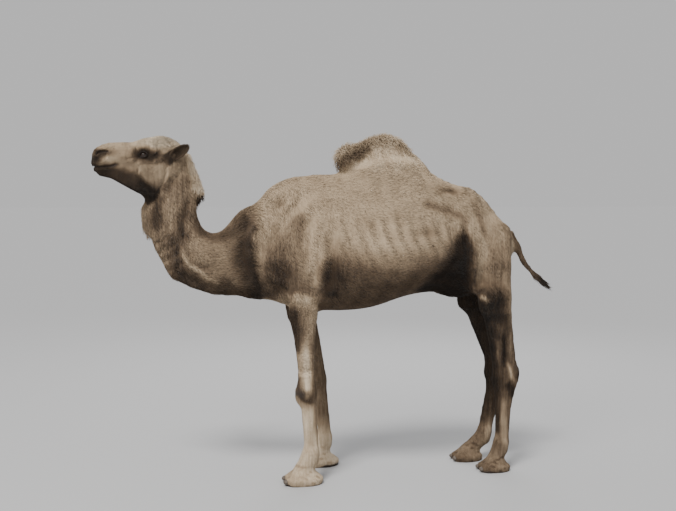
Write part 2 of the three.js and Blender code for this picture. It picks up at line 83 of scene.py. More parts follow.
# %% Camera
CAMERA_PLACE = Vector((-0.952, -5.554, 1.656))
CAMERA_YAW = 10.2  # degrees off the animal's own side view
CAMERA_PITCH = 3.52  # degrees downward
LENS_MM = 50.59
SENSOR_MM = 36


def linked(name, data):
    """A new object of the scene with this mesh, light or camera."""
    piece = bpy.data.objects.new(name, data)
    scene.collection.objects.link(piece)
    return piece


camera = linked("camera", bpy.data.cameras.new("camera"))
camera.data.lens = LENS_MM
camera.data.sensor_width = SENSOR_MM
yaw, pitch = math.radians(CAMERA_YAW), math.radians(CAMERA_PITCH)
gaze = Vector((math.sin(yaw) * math.cos(pitch), math.cos(yaw) * math.cos(pitch), -math.sin(pitch)))
camera.rotation_euler = gaze.to_track_quat("-Z", "Y").to_euler()
camera.location = CAMERA_PLACE
scene.camera = camera
print("camera looks along", [round(v, 3) for v in gaze])


# %% Floor and lights
def put_in_scene(bm, name):
    mesh = bpy.data.meshes.new(name)
    bm.to_mesh(mesh)
    bm.free()
    return linked(name, mesh)


def plain_material(name, color, roughness):
    material = bpy.data.materials.new(name)
    material.use_nodes = True
    shader = material.node_tree.nodes["Principled BSDF"]
    shader.inputs["Base Color"].default_value = (*color, 1)
    shader.inputs["Roughness"].default_value = roughness
    return material


FLOOR_COLOR = (0.47, 0.475, 0.485)
bm = bmesh.new()
bmesh.ops.create_grid(bm, x_segments=1, y_segments=1, size=150)
floor = put_in_scene(bm, "floor")
floor.data.materials.append(plain_material("pale_floor", FLOOR_COLOR, 0.9))

world = bpy.data.worlds.new("studio")
world.use_nodes = True
background = world.node_tree.nodes["Background"]
background.inputs["Color"].default_value = (1.0, 0.995, 0.997, 1)
background.inputs["Strength"].default_value = 0.6
scene.world = world


def soft_light(name, place, target, size, power, color=(1, 1, 1)):
    light = linked(name, bpy.data.lights.new(name, "AREA"))
    light.data.shape = "DISK"
    light.data.size = size
    light.data.energy = power
    light.data.color = color
    light.location = place
    light.rotation_euler = (Vector(target) - Vector(place)).to_track_quat("-Z", "Y").to_euler()


SUN_WAY = Vector((0.34, 0.52, -1.0))
sun = linked("sun", bpy.data.lights.new("sun", "SUN"))
sun.data.energy = 2.5
sun.data.angle = math.radians(15)
sun.data.color = (1.0, 0.975, 0.94)
sun.rotation_euler = SUN_WAY.to_track_quat("-Z", "Y").to_euler()
soft_light("key", (-3.2, -4.0, 4.6), (0, 0, 1.3), 2.6, 150, (1.0, 0.97, 0.92))
soft_light("rim", (1.5, 4.5, 4.2), (0, 0, 1.2), 3.0, 90)
print("floor, world, sun and two lamps")

# %% [markdown]
# ## The skin
# A voxel remesh melts the solids of flesh into one closed surface. The solids stop a hair's breadth
# short of each other, so copies of them are first swollen by a little over half a millimetre.
# The wool pads of hump, nape, throat and tail go in too: they give the longest hair firm roots. The
# eyeballs go in as well, so that the lids can later be drawn over a round form and not over a pit.

# %% One closed surface
EYES = ["left_eye", "right_eye"]
EARS = ["left_ear", "right_ear"]
NAILS = [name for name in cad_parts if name.endswith("_nail")]
FLESH = [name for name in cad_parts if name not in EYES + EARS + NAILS]
SWELL = 0.0006
VOXEL = 0.013


def swollen_copies(names, swell):
    bm = bmesh.new()
    for name in names:
        bm.from_mesh(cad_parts[name].data)
    bmesh.ops.remove_doubles(bm, verts=bm.verts, dist=1e-5)
    bm.normal_update()
    for vertex, shift in [(v, v.normal * swell) for v in bm.verts]:
        vertex.co += shift
    return bm


def baked_modifiers(piece):
    depsgraph = bpy.context.evaluated_depsgraph_get()
    mesh = bpy.data.meshes.new_from_object(piece.evaluated_get(depsgraph))
    piece.modifiers.clear()
    piece.data = mesh
    return piece


skin = put_in_scene(swollen_copies(FLESH + EYES, SWELL), "skin")
remesh = skin.modifiers.new("melt", "REMESH")
remesh.mode = "VOXEL"
remesh.voxel_size = VOXEL
baked_modifiers(skin)
print("skin has", len(skin.data.polygons), "faces")


# %% [markdown]
# Sculpting in code needs three things for every point of the skin: where it is, which way it faces,
# and which solid it came from. The last is the nearest face of the solids, found with a search tree.

# %% Points, normals and regions
def points_of(mesh):
    co = np.empty(len(mesh.vertices) * 3, np.float32)
    mesh.vertices.foreach_get("co", co)
    return co.reshape(-1, 3).astype(float)


def normals_of(mesh):
    normals = np.empty(len(mesh.vertices) * 3, np.float32)
    mesh.vertex_normals.foreach_get("vector", normals)
    return normals.reshape(-1, 3).astype(float)


def move_points(mesh, points):
    mesh.vertices.foreach_set("co", points.astype(np.float32).ravel())
    mesh.update()


def shade_smooth(mesh):
    mesh.polygons.foreach_set("use_smooth", np.ones(len(mesh.polygons), bool))


def edges_of(mesh):
    edges = np.empty(len(mesh.edges) * 2, np.int32)
    mesh.edges.foreach_get("vertices", edges)
    return edges.reshape(-1, 2)


def spread(values, edges, rounds):
    """Averages values, one number or one vector a point, with their neighbours' again and again."""
    flat = values.reshape(len(values), -1)
    count = len(flat)
    a, b = edges.T
    degree = np.maximum(np.bincount(edges.ravel(), minlength=count), 1)
    for _ in range(rounds):
        columns = [
            np.bincount(a, flat[b, k], count) + np.bincount(b, flat[a, k], count)
            for k in range(flat.shape[1])
        ]
        flat = (flat + np.stack(columns, 1) / degree[:, None]) / 2
    return flat.reshape(values.shape)


def even_out(points, edges, share, rounds):
    """Blurs the surface, then twice gives back the broad part of what the blur took away."""
    smooth = spread(points, edges, rounds)
    for _ in range(2):
        smooth = smooth + spread(points - smooth, edges, rounds)
    return points + share[:, None] * (smooth - points)


def region_finder(names):
    vertices, faces, owner = [], [], []
    for index, name in enumerate(names):
        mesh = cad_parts[name].data
        start = len(vertices)
        vertices += [v.co.copy() for v in mesh.vertices]
        faces += [[start + i for i in p.vertices] for p in mesh.polygons]
        owner += [index] * len(mesh.polygons)
    tree = BVHTree.FromPolygons(vertices, faces)
    return lambda points: np.array([owner[tree.find_nearest(Vector(p))[2]] for p in points])


find_region = region_finder(FLESH)


def belongs(regions, *endings):
    """True where a point's solid has a name that ends in one of these words."""
    wanted = [i for i, name in enumerate(FLESH) if name.endswith(endings)]
    return np.isin(regions, wanted)


def smoothstep(low, high, values):
    t = np.clip((values - low) / (high - low), 0, 1)
    return t * t * (3 - 2 * t)


HEAD_PARTS = ("head", "lower_jaw")
NECK_PARTS = ("upper_neck", "lower_neck")
LIMB_PARTS = ("forearm", "gaskin", "shank", "foot")
WOOL_PARTS = ("hump_wool", "nape_mane", "throat_fringe", "tail_tuft")

points = points_of(skin.data)
edges = edges_of(skin.data)
regions = find_region(points)
slender = belongs(regions, "tail_dock", "tail_tuft", "throat_fringe", "nape_mane").astype(float)
limbs = belongs(regions, *LIMB_PARTS).astype(float)
face = belongs(regions, *HEAD_PARTS).astype(float)
broad = spread(np.clip(1 - slender - limbs - face, 0, 1), edges, 12)
points = even_out(points, edges, broad, 34)
points = even_out(points, edges, spread(limbs, edges, 6), 7)
points = even_out(points, edges, spread(slender, edges, 4), 3)
points = even_out(points, edges, spread(face, edges, 4), 7)
move_points(skin.data, points)
print("facets melted away, highest point", round(points[:, 2].max(), 3))

# %% [markdown]
# A face needs a finer mesh than a flank. Edges are cut in two only where small forms will be: once
# all over head and feet, again over muzzle and eyes, and once more round each eye, each nostril and
# the mouth.

# %% Finer faces on head and feet
def refined(mesh, chosen):
    bm = bmesh.new()
    bm.from_mesh(mesh)
    cut = [e for e in bm.edges if chosen[e.verts[0].index] and chosen[e.verts[1].index]]
    bmesh.ops.subdivide_edges(bm, edges=cut, cuts=1, use_grid_fill=True)
    bm.to_mesh(mesh)
    bm.free()


def near_eyes(points, reach):
    distances = [np.linalg.norm(points - np.array(EYE[side]), axis=1) for side in SIDES]
    return np.minimum(*distances) < reach


refined(skin.data, belongs(find_region(points_of(skin.data)), *HEAD_PARTS, "foot"))
points = points_of(skin.data)
muzzle = (points[:, 0] < LIPS_X + 0.12) & (points[:, 2] > EYE[-1].z - 0.12)
refined(skin.data, muzzle | near_eyes(points, 0.066))
points = points_of(skin.data)
nostrils = np.abs(points[:, 0] - LIPS_X - 0.062) < 0.05
nostrils &= np.abs(points[:, 2] - EYE[-1].z - 0.012) < 0.024
mouth_band = (points[:, 0] < LIPS_X + 0.16) & (np.abs(points[:, 2] - EYE[-1].z + 0.064) < 0.014)
refined(skin.data, nostrils | mouth_band | near_eyes(points, 0.05))
points = points_of(skin.data)
edges = edges_of(skin.data)
regions = find_region(points)
points = even_out(points, edges, spread(belongs(regions, *HEAD_PARTS, "foot").astype(float), edges, 3), 5)
move_points(skin.data, points)
normals = normals_of(skin.data)
print("skin has now", len(points), "points")

# %% [markdown]
# The big forms carry smaller ones: a rib, the edge of a muscle, a tendon. Each is a brush stroke, a
# path drawn on the animal's side with a width and a height, and a raised stroke beside a sunken one
# makes an edge. Paths are in metres in the animal's own side view, x along the body and z up.

# %% Brushes
SHOULDER_REAR = [(-0.08, 1.5), (-0.076, 1.4), (-0.071, 1.29), (-0.09, 1.19), (-0.117, 1.09)]
TRICEPS_RIDGE = [(-0.093, 1.555), (-0.116, 1.442), (-0.128, 1.33), (-0.145, 1.245), (-0.15, 1.16)]
SHOULDER_FRONT = [(-0.426, 1.6), (-0.454, 1.49), (-0.474, 1.4), (-0.476, 1.3), (-0.445, 1.2), (-0.42, 1.12)]
SHOULDER_BLADE = [(-0.18, 1.7), (-0.27, 1.6), (-0.33, 1.5), (-0.36, 1.38)]
ELBOW_FOLD = [(-0.33, 1.3), (-0.27, 1.17), (-0.2, 1.09)]
ELBOW_HOLLOW = [(-0.03, 1.32), (-0.02, 1.2), (-0.05, 1.08)]
HIP_EDGE = [(0.49, 1.622), (0.6, 1.6), (0.69, 1.57), (0.76, 1.52)]
THIGH_FRONT = [(0.785, 1.5), (0.813, 1.4), (0.826, 1.27), (0.83, 1.17), (0.85, 1.08)]
THIGH_SEAM = [(0.798, 1.64), (0.847, 1.57), (0.891, 1.5), (0.922, 1.4), (0.96, 1.27), (0.965, 1.15)]
THIGH_REAR = [(1.0, 1.5), (1.02, 1.36), (1.01, 1.2), (1.0, 1.05)]
FLANK_FOLD = [(0.72, 1.2), (0.79, 1.15), (0.85, 1.06)]
NECK_FURROW = [
    (-0.975, 1.453), (-0.915, 1.402), (-0.899, 1.311), (-0.9, 1.237), (-0.838, 1.19), (-0.743, 1.154),
    (-0.6, 1.13),
]
NECK_CORD = [
    (-0.882, 1.39), (-0.86, 1.327), (-0.827, 1.264), (-0.771, 1.225), (-0.737, 1.183), (-0.67, 1.148),
]
NECK_CREASE = [(-0.845, 1.37), (-0.815, 1.287), (-0.77, 1.252), (-0.69, 1.251)]
NECK_STRIPE = [(-0.823, 1.66), (-0.852, 1.571), (-0.88, 1.515), (-0.864, 1.441), (-0.876, 1.36)]


def path_distance(path, x, z):
    """How far each point lies from a path, and how far along it, from 0 to 1."""
    best = np.full(len(x), np.inf)
    where = np.zeros(len(x))
    lengths = [math.dist(a, b) for a, b in zip(path, path[1:])]
    start = 0
    for a, b, length in zip(path, path[1:], lengths):
        along = (b[0] - a[0], b[1] - a[1])
        t = np.clip(((x - a[0]) * along[0] + (z - a[1]) * along[1]) / length**2, 0, 1)
        distance = np.hypot(x - a[0] - t * along[0], z - a[1] - t * along[1])
        closer = distance < best
        best = np.where(closer, distance, best)
        where = np.where(closer, (start + t * length) / sum(lengths), where)
        start += length
    return best, where


def bell(values, centre, width):
    """1 at the centre, falling off softly on both sides of it."""
    return np.exp(-(((values - centre) / width) ** 2))


canvas = points  # the places that strokes are drawn over


def stroke(path, width, faded=0.25, shift=(0, 0), facing=0.3):
    """A soft line on both flanks, strongest mid-way and faded at its ends."""
    distance, where = path_distance(path, canvas[:, 0] - shift[0], canvas[:, 2] - shift[1])
    ends = smoothstep(0, faded, where) * smoothstep(0, faded, 1 - where) if faded else 1
    return bell(distance, 0, width) * ends * smoothstep(0, facing, np.abs(normals[:, 1]))


def edge(path, rise, width, sink, sink_width, shift):
    """A raised line with a sunken one beside it, as at the edge of a muscle or a bone."""
    return rise * stroke(path, width) - sink * stroke(path, sink_width, shift=shift)


def spot(x, z, across, tall, facing=0.3):
    """A soft oval on both flanks."""
    r2 = ((canvas[:, 0] - x) / across) ** 2 + ((canvas[:, 2] - z) / tall) ** 2
    return np.exp(-r2) * smoothstep(0, facing, np.abs(normals[:, 1]))


def flank_hollow():
    """The three-cornered hollow before the thigh: its rear edge is sharp and its front edge soft."""
    x, z = canvas[:, 0], canvas[:, 2]
    rear = np.interp(z, [1.1, 1.17, 1.27, 1.38, 1.45, 1.52], [0.84, 0.827, 0.826, 0.813, 0.794, 0.769])
    fore = np.interp(z, [1.13, 1.21, 1.32, 1.42, 1.5], [0.47, 0.55, 0.63, 0.69, 0.755])
    across = smoothstep(fore - 0.02, fore + 0.11, x) * smoothstep(rear + 0.006, rear - 0.022, x)
    return across * smoothstep(1.52, 1.44, z) * smoothstep(0.1, 0.4, np.abs(normals[:, 1]))


print("brushes: stroke, edge, spot and the hollow of the flank")

# %% Body strokes
on_head = spread(belongs(regions, *HEAD_PARTS).astype(float), edges, 2)
on_limb = spread(belongs(regions, *LIMB_PARTS).astype(float), edges, 3)
on_neck = spread(belongs(regions, *NECK_PARTS).astype(float), edges, 8)
on_body = spread(np.clip(1 - on_head - on_limb, 0, 1), edges, 2)
height = np.zeros(len(points))
body_forms = {
    "rear edge of the shoulder": (1, edge(SHOULDER_REAR, 0.008, 0.03, 0.012, 0.03, (0.05, 0))),
    "front edge of the shoulder": (1, edge(SHOULDER_FRONT, 0.007, 0.028, 0.012, 0.03, (-0.05, 0))),
    "shoulder blade": (1, edge(SHOULDER_BLADE, 0.006, 0.022, 0.007, 0.04, (0.07, 0.01))),
    "fold over the elbow": (-0.006, stroke(ELBOW_FOLD, 0.024)),
    "triceps": (0.007, stroke(TRICEPS_RIDGE, 0.03)),
    "hollow behind the elbow": (-0.012, stroke(ELBOW_HOLLOW, 0.035)),
    "hollow of the shoulder": (-0.009, spot(-0.338, 1.22, 0.07, 0.06)),
    "front of the thigh": (1, 0.01 * stroke(THIGH_FRONT, 0.022) - 0.024 * flank_hollow()),
    "hollows of the hip": (-0.008, stroke(HIP_EDGE, 0.022) + spot(0.71, 1.69, 0.07, 0.018)),
    "hollow behind the ribs": (-0.008, spot(0.51, 1.44, 0.06, 0.03)),
    "seams of the thigh": (-0.006, stroke(THIGH_SEAM, 0.017) + stroke(THIGH_REAR, 0.016)),
    "fold of the flank": (0.008, stroke(FLANK_FOLD, 0.022)),
    "hip bone": (0.014, spot(0.79, 1.695, 0.04, 0.028)),
    "stifle": (0.009, spot(0.925, 1.055, 0.035, 0.045)),
}
for rise, form in body_forms.values():
    height += on_body * rise * form
for rib in range(9):
    top_x = 0.076 * rib
    path = [(top_x, 1.585 - 0.004 * rib), (top_x + 0.05, 1.4), (top_x + 0.13, 1.24 + 0.008 * rib)]
    height += on_body * (0.0045 + 0.0015 * math.sin(5 * rib)) * stroke(path, 0.018, 0.35)
neck_forms = {
    "furrow": (-1, edge(NECK_FURROW, 0.009, 0.02, 0.006, 0.02, (-0.012, -0.03))),
    "cord": (1, 0.008 * stroke(NECK_CORD, 0.017) - 0.006 * stroke(NECK_CREASE, 0.013)),
    "swell before the shoulder": (0.01, spot(-0.725, 1.315, 0.09, 0.05)),
    "groove behind the jaw": (-0.009, stroke(NECK_STRIPE, 0.022)),
}
for fold in range(4):
    fold_x, fold_z = -1.02 + 0.028 * fold, 1.40 - 0.05 * fold
    path = [(fold_x - 0.04, fold_z - 0.02), (fold_x + 0.03, fold_z + 0.01), (fold_x + 0.09, fold_z + 0.05)]
    neck_forms[f"throat fold {fold}"] = (-0.004, stroke(path, 0.008))
for rise, form in neck_forms.values():
    height += on_neck * rise * form
KNOB_SPACING = 0.042  # from one bone of the spine to the next
spine = bell(points[:, 1], 0, 0.02) * smoothstep(0.3, 0.8, normals[:, 2])
knobs = 0.5 + 0.5 * np.cos(points[:, 0] / KNOB_SPACING * 2 * math.pi)
height += on_body * 0.006 * spine * (0.4 + 0.6 * knobs) * smoothstep(0.52, 0.62, points[:, 0])
print("body strokes between", round(height.min(), 4), "and", round(height.max(), 4))

# %% [markdown]
# A leg has its own view: how far a point lies before or behind the leg's axis, and how far outward.
# The axis is measured from the skin itself, as the mean of its points at each height. Tendons stand
# behind the cannon bone, the hock's cord leaves a thin web, and two toes part under one broad sole.

# %% Leg strokes
legs = {}
for name, leg in LEGS.items():
    own = belongs(regions, *[f"{name}_{part}" for part in (leg["upper"], "shank", "foot")])
    heights = np.linspace(0.02, points[own][:, 2].max(), 40)
    bands = [own & (np.abs(points[:, 2] - z) < 0.02) for z in heights]
    centres = np.array([points[band].mean(axis=0) for band in bands])
    before = points[:, 0] - np.interp(points[:, 2], heights, centres[:, 0])
    outward = (points[:, 1] - np.interp(points[:, 2], heights, centres[:, 1])) * leg["side"]
    axis = (heights, centres[:, 0])
    legs[name] = {**leg, "own": own, "before": before, "outward": outward, "axis": axis}
    z = points[:, 2]
    flank = smoothstep(0.2, 0.7, np.abs(normals[:, 1])) * own
    cannon = smoothstep(0.17, 0.22, z) * smoothstep(0.5, 0.42, z)
    height -= 0.0045 * flank * cannon * bell(before, 0.014, 0.008)
    if leg["end"] == "fore":
        front = smoothstep(0.2, 0.8, -normals[:, 0]) * own
        from_kneecap = np.hypot((z - 0.565) / 0.075, outward / 0.05)
        height += 0.004 * front * bell(from_kneecap, 1, 0.25)
        height -= 0.003 * flank * bell(z, 0.655, 0.02)
        muscle = smoothstep(0.7, 0.8, z) * smoothstep(1.05, 0.95, z)
        height -= 0.005 * flank * muscle * bell(before, 0.012, 0.012)
    else:
        web = smoothstep(0.6, 0.66, z) * smoothstep(0.88, 0.78, z)
        height -= 0.011 * flank * web * bell(before, 0.022, 0.016)
        height += 0.004 * flank * np.exp(-(before**2 + (z - 0.6) ** 2) / 0.025**2)
    toes = smoothstep(0.085, 0.03, z) * smoothstep(0.0, -0.05, before) * own
    height -= 0.011 * toes * bell(outward, 0, 0.008)
    height += 0.003 * own * bell(z, 0.028, 0.012)
    height -= 0.0025 * own * bell(z, 0.05, 0.008)
print("legs measured:", {k: int(v["own"].sum()) for k, v in legs.items()})

# %% [markdown]
# The head's strokes are smaller still. The mouth is a narrow groove that runs round the muzzle under
# a fuller upper lip, which is itself parted in the middle. Each nostril is a slit that a camel can
# shut against the sand, with a soft rim. A brow overhangs the eye, and a tear groove leaves its
# front corner.

# %% Face strokes
x, y, z = points.T
MOUTH_LINE = [(LIPS_X - 0.02, 1.828), (LIPS_X + 0.03, 1.824), (-1.3, 1.825), (-1.26, 1.832), (-1.222, 1.841)]
NOSTRIL = [(-1.344, 1.893), (-1.334, 1.905), (-1.315, 1.914), (-1.292, 1.917), (-1.272, 1.911)]
NOSTRIL_RIM = [(-1.336, 1.885), (-1.31, 1.899), (-1.28, 1.901)]
NOSTRIL_FOLD = [(-1.345, 1.876), (-1.31, 1.872), (-1.27, 1.88)]
NASAL_EDGE = [(-1.26, 1.93), (-1.2, 1.928), (-1.14, 1.932)]
TEAR_GROOVE = [(-1.115, 1.885), (-1.15, 1.872), (-1.185, 1.868)]
CHEEK_RIDGE = [(-1.12, 1.862), (-1.06, 1.852), (-0.99, 1.862), (-0.95, 1.878)]
JAW_MUSCLE = [(-1.1, 1.835), (-1.115, 1.79), (-1.09, 1.735), (-1.04, 1.69), (-0.99, 1.675)]
THROAT_LATCH = [(-0.955, 1.86), (-0.95, 1.8), (-0.975, 1.72), (-1.02, 1.65)]
BROW = [(-1.125, 1.913), (-1.1, 1.93), (-1.065, 1.931), (-1.035, 1.915)]
WRINKLE = [(-1.2, 1.862), (-1.207, 1.843), (-1.2, 1.826)]

mouth, mouth_at = path_distance(MOUTH_LINE, x, z)
lips = on_head * smoothstep(1, 0.8, mouth_at)
height -= 0.0085 * lips * bell(mouth, 0, 0.0036)
on_top = smoothstep(0.2, 0.8, normals[:, 2]) * on_head
front = smoothstep(0.2, 0.7, -normals[:, 0])
cleft = 0.0034 * on_head * front * bell(y, 0, 0.005)
face_forms = {
    "upper lip": (0.0035, bell(z, 1.848, 0.014) * smoothstep(-1.22, -1.3, x)),
    "lower lip": (0.005, bell(z, 1.81, 0.011) * smoothstep(-1.24, -1.3, x)),
    "chin": (0.004, bell(x, -1.31, 0.03) * smoothstep(-0.2, -0.8, normals[:, 2])),
}
for rise, form in face_forms.values():
    height += rise * on_head * form
height += on_top * (0.007 * bell(x, -0.99, 0.06) - 0.006 * bell(x, -1.135, 0.035))
height -= cleft * smoothstep(1.832, 1.84, z) * smoothstep(1.9, 1.88, z)
nostril_rim, nostril_slit = stroke(NOSTRIL, 0.014, 0, facing=0.2), stroke(NOSTRIL, 0.0058, 0.1, facing=0.2)
face_lines = {
    "nostril": (1, 0.0045 * nostril_rim - 0.017 * nostril_slit),
    "inner rim of the nostril": (0.003, stroke(NOSTRIL_RIM, 0.008, facing=0.2)),
    "fold under the nostril": (-0.004, stroke(NOSTRIL_FOLD, 0.01)),
    "edge of the nasal bone": (-0.005, stroke(NASAL_EDGE, 0.012)),
    "tear groove": (-0.006, stroke(TEAR_GROOVE, 0.008)),
    "cheek": (1, edge(CHEEK_RIDGE, 0.006, 0.014, 0.007, 0.018, (0, 0.034))),
    "jaw muscle": (-1, edge(JAW_MUSCLE, 0.007, 0.01, 0.005, 0.02, (0.03, 0.01))),
    "throat latch": (-0.0065, stroke(THROAT_LATCH, 0.012)),
    "brow": (0.008, stroke(BROW, 0.011)),
}
for rise, form in face_lines.values():
    height += on_head * rise * form
ear_foot = (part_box("left_ear")[0].x, 0.08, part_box("left_ear")[0].z + 0.008)
from_ear = np.stack([x - ear_foot[0], np.abs(y) - ear_foot[1], z - ear_foot[2]], 1)
height += 0.009 * on_head * bell(np.linalg.norm(from_ear, axis=1), 0, 0.026)
for number in range(3):
    shift = (-0.014 * number, 0.004 * number)
    height -= on_head * 0.0016 * stroke(WRINKLE, 0.0035, shift=shift)
height = spread(height, edges, 1)
points = points + normals * height[:, None]
print("deepest stroke of the face", round(height[on_head > 0.5].min(), 4))

# %% [markdown]
# The solids reach out to the tips of the coat, so the skin is now drawn in by the coat's depth:
# a finger's breadth under the hump's wool, only a millimetre or two on face and feet.

# %% Coat depth
DEPTHS = {
    "trunk": 0.006, "hump": 0.008, "hump_wool": 0.018, "chest_pad": 0.001, "neck": 0.007,
    "head": 0.0022, "lower_jaw": 0.0026, "nape_mane": 0.018, "throat_fringe": 0.011,
    "tail_dock": 0.003, "tail_tuft": 0.009, "shoulder": 0.005, "forearm": 0.0035, "thigh": 0.005,
    "gaskin": 0.0035, "shank": 0.0028, "foot": 0.0018,
}
depth_of_region = np.array([DEPTHS[max((k for k in DEPTHS if n.endswith(k)), key=len)] for n in FLESH])
depth = spread(depth_of_region[regions], edges, 4)
broad_depth = spread(depth_of_region[regions], edges, 22)
on_barrel = spread(belongs(regions, "trunk", "hump", "hump_wool").astype(float), edges, 8)
depth += np.clip(on_barrel, 0, 1) * (broad_depth - depth)
move_points(skin.data, points)
normals = spread(normals_of(skin.data), edges, 2)
normals /= np.linalg.norm(normals, axis=1)[:, None]
points = points - normals * depth[:, None]
sole = (points[:, 2] < 0.014) & (normals[:, 2] < -0.5)
points[:, 2] = np.where(sole, 0.0006, np.maximum(points[:, 2], 0.0006))
move_points(skin.data, points)
print("skin lies", round(depth.min(), 4), "to", round(depth.max(), 4), "inside the solids")

# %% [markdown]
# Lids are the skin itself. Round each eye its points are laid onto a sphere two millimetres larger
# than the eyeball, which makes the lids, and within an almond they dive under the eyeball's surface,
# which makes the opening. The upper lid is the thicker one, and a crease runs above and below.

# %% Lids
OPENING = (math.radians(60), math.radians(37))  # half its length and half its height, seen from inside
CORNERS = 1.6  # below 2 the opening's corners are pointed
LID = 0.002


def eye_axes(side):
    outward = Vector((-0.26, side * 0.955, 0.14)).normalized()
    ahead = Vector((-1, 0, -0.12))
    ahead = (ahead - outward * ahead.dot(outward)).normalized()
    up = Vector((0, 0, 1))
    up = (up - outward * up.dot(outward) - ahead * up.dot(ahead)).normalized()
    return outward, ahead, up


def laid_lids(points, side):
    outward, ahead, up = (np.array(v) for v in eye_axes(side))
    away = points - np.array(EYE[side])
    distance = np.linalg.norm(away, axis=1)
    way = away / distance[:, None]
    along = np.arctan2(way @ ahead, np.maximum(way @ outward, 1e-3))
    rise = np.arcsin(np.clip(way @ up, -1, 1))
    almond = (np.abs(along / OPENING[0]) ** CORNERS + np.abs(rise / OPENING[1]) ** CORNERS) ** (1 / CORNERS)
    open_side = (way @ outward > 0) & (distance < 0.07)
    upper = smoothstep(-0.1, 0.3, rise)
    radius = EYE_RADIUS + LID + 0.0024 * upper * np.exp(-(((almond - 1.15) / 0.24) ** 2))
    radius = radius - (0.0006 + 0.0018 * upper) * np.exp(-(((almond - 1.6) / 0.12) ** 2))
    radius = np.where(almond < 1, EYE_RADIUS + LID - 0.011 * smoothstep(1, 0.86, almond), radius)
    hold = smoothstep(2.15, 1.35, almond) * open_side
    wanted = distance + hold * (radius - distance)
    return points + way * (wanted - distance)[:, None], np.where(open_side, almond, 9)


almonds = {}
for side in SIDES:
    points, almonds[side] = laid_lids(points, side)
almond = np.minimum(almonds[-1], almonds[1])
round_eye = smoothstep(2.3, 1.9, almond) * smoothstep(1.25, 1.6, almond)
points = even_out(points, edges, round_eye, 2)
move_points(skin.data, points)
print("points within the openings:", int((almond < 1).sum()))

# %% [markdown]
# An ear is a leaf of gristle, rolled into a tube at its root and open toward its tip. A flat grid is
# bent to that shape, given its thickness, and joined into the skin with its root sunk in the head.

# %% Ears
EAR_LENGTH = 0.124
EAR_HALF_WIDTH = 0.032
EAR_WALL = 0.0045


def ear_frame(side):
    along = Vector((0.83, side * 0.33, 0.515)).normalized()
    opening = Vector((-0.12, side * 0.914, -0.3))
    opening = (opening - along * opening.dot(along)).normalized()
    return along, opening, opening.cross(along) * side


def ear_leaf(side):
    along, opening, across = ear_frame(side)
    root = middle(f"{SIDE_NAMES[side]}_ear") - along * EAR_LENGTH * 0.47 - opening * 0.004
    root.y -= side * 0.014
    bm = bmesh.new()
    bmesh.ops.create_grid(bm, x_segments=26, y_segments=20, size=1)
    for vertex in bm.verts:
        s = (vertex.co.x + 1) / 2
        bulge = 0.5 + 0.55 * math.sin(math.pi * min(s, 0.52) / 1.04)
        half = EAR_HALF_WIDTH * bulge * (1 - s**3.4) ** 0.55
        roll = 1.75 - 0.95 * s
        radius = half / math.sin(min(roll, math.pi / 2))
        angle = vertex.co.y * roll
        lean = 0.01 * math.sin(math.pi * s)
        vertex.co = root + along * (EAR_LENGTH * s) + across * (radius * math.sin(angle))
        vertex.co += opening * (radius * (1 - math.cos(angle)) - lean)
    bmesh.ops.remove_doubles(bm, verts=bm.verts, dist=2e-4)
    bmesh.ops.recalc_face_normals(bm, faces=bm.faces)
    bmesh.ops.solidify(bm, geom=bm.faces[:], thickness=EAR_WALL)
    bmesh.ops.recalc_face_normals(bm, faces=bm.faces)
    return bm


skin_count = len(points)
joined = bmesh.new()
joined.from_mesh(skin.data)
for side in SIDES:
    leaf = ear_leaf(side)
    loose = bpy.data.meshes.new("leaf")
    leaf.to_mesh(loose)
    leaf.free()
    joined.from_mesh(loose)
joined.to_mesh(skin.data)
joined.free()
shade_smooth(skin.data)
points = points_of(skin.data)
normals = normals_of(skin.data)
edges = edges_of(skin.data)
is_ear = np.arange(len(points)) >= skin_count
regions = np.concatenate([regions, np.full(is_ear.sum(), -1)])
almond = np.concatenate([almond, np.full(is_ear.sum(), 9.0)])
for leg in legs.values():
    for key in ("own", "before", "outward"):
        leg[key] = np.concatenate([leg[key], np.zeros(is_ear.sum(), leg[key].dtype)])
ear_along = np.array([ear_frame(side)[0] for side in SIDES])[(points[:, 1] > 0).astype(int)]
print("ears of", int(is_ear.sum()), "points joined to the skin")

# %% [markdown]
# ## Eyes and nails
# An eyeball is a sphere with the clear cornea swelling from its front. Two attributes hold each
# point's place across and up the eye, and the material draws from them the dark brown iris and the
# long level pupil of a camel. A dark wet rim lies along the lids.

# %% Eyeballs and lid rims
def store(mesh, name, values):
    attribute = mesh.attributes.new(name, "FLOAT", "POINT")
    attribute.data.foreach_set("value", np.asarray(values, np.float32))


def eyeball(side):
    outward, ahead, up = eye_axes(side)
    turn = Matrix((ahead, up, outward)).transposed().to_4x4()
    bm = bmesh.new()
    bmesh.ops.create_uvsphere(bm, u_segments=48, v_segments=32, radius=EYE_RADIUS - 0.0004)
    bm.verts.ensure_lookup_table()
    across = [v.co.x / EYE_RADIUS for v in bm.verts]
    rise = [v.co.y / EYE_RADIUS if v.co.z > 0 else 2.0 for v in bm.verts]
    for vertex in bm.verts:
        if vertex.co.z > 0:
            swell = math.exp(-(((vertex.co.xy.length / EYE_RADIUS) / 0.5) ** 4))
            vertex.co.z += 0.0011 * swell
    bmesh.ops.transform(bm, matrix=Matrix.Translation(EYE[side]) @ turn, verts=bm.verts)
    bmesh.ops.recalc_face_normals(bm, faces=bm.faces)
    piece = put_in_scene(bm, f"{SIDE_NAMES[side]}_eyeball")
    store(piece.data, "across", across)
    store(piece.data, "rise", rise)
    shade_smooth(piece.data)
    return piece


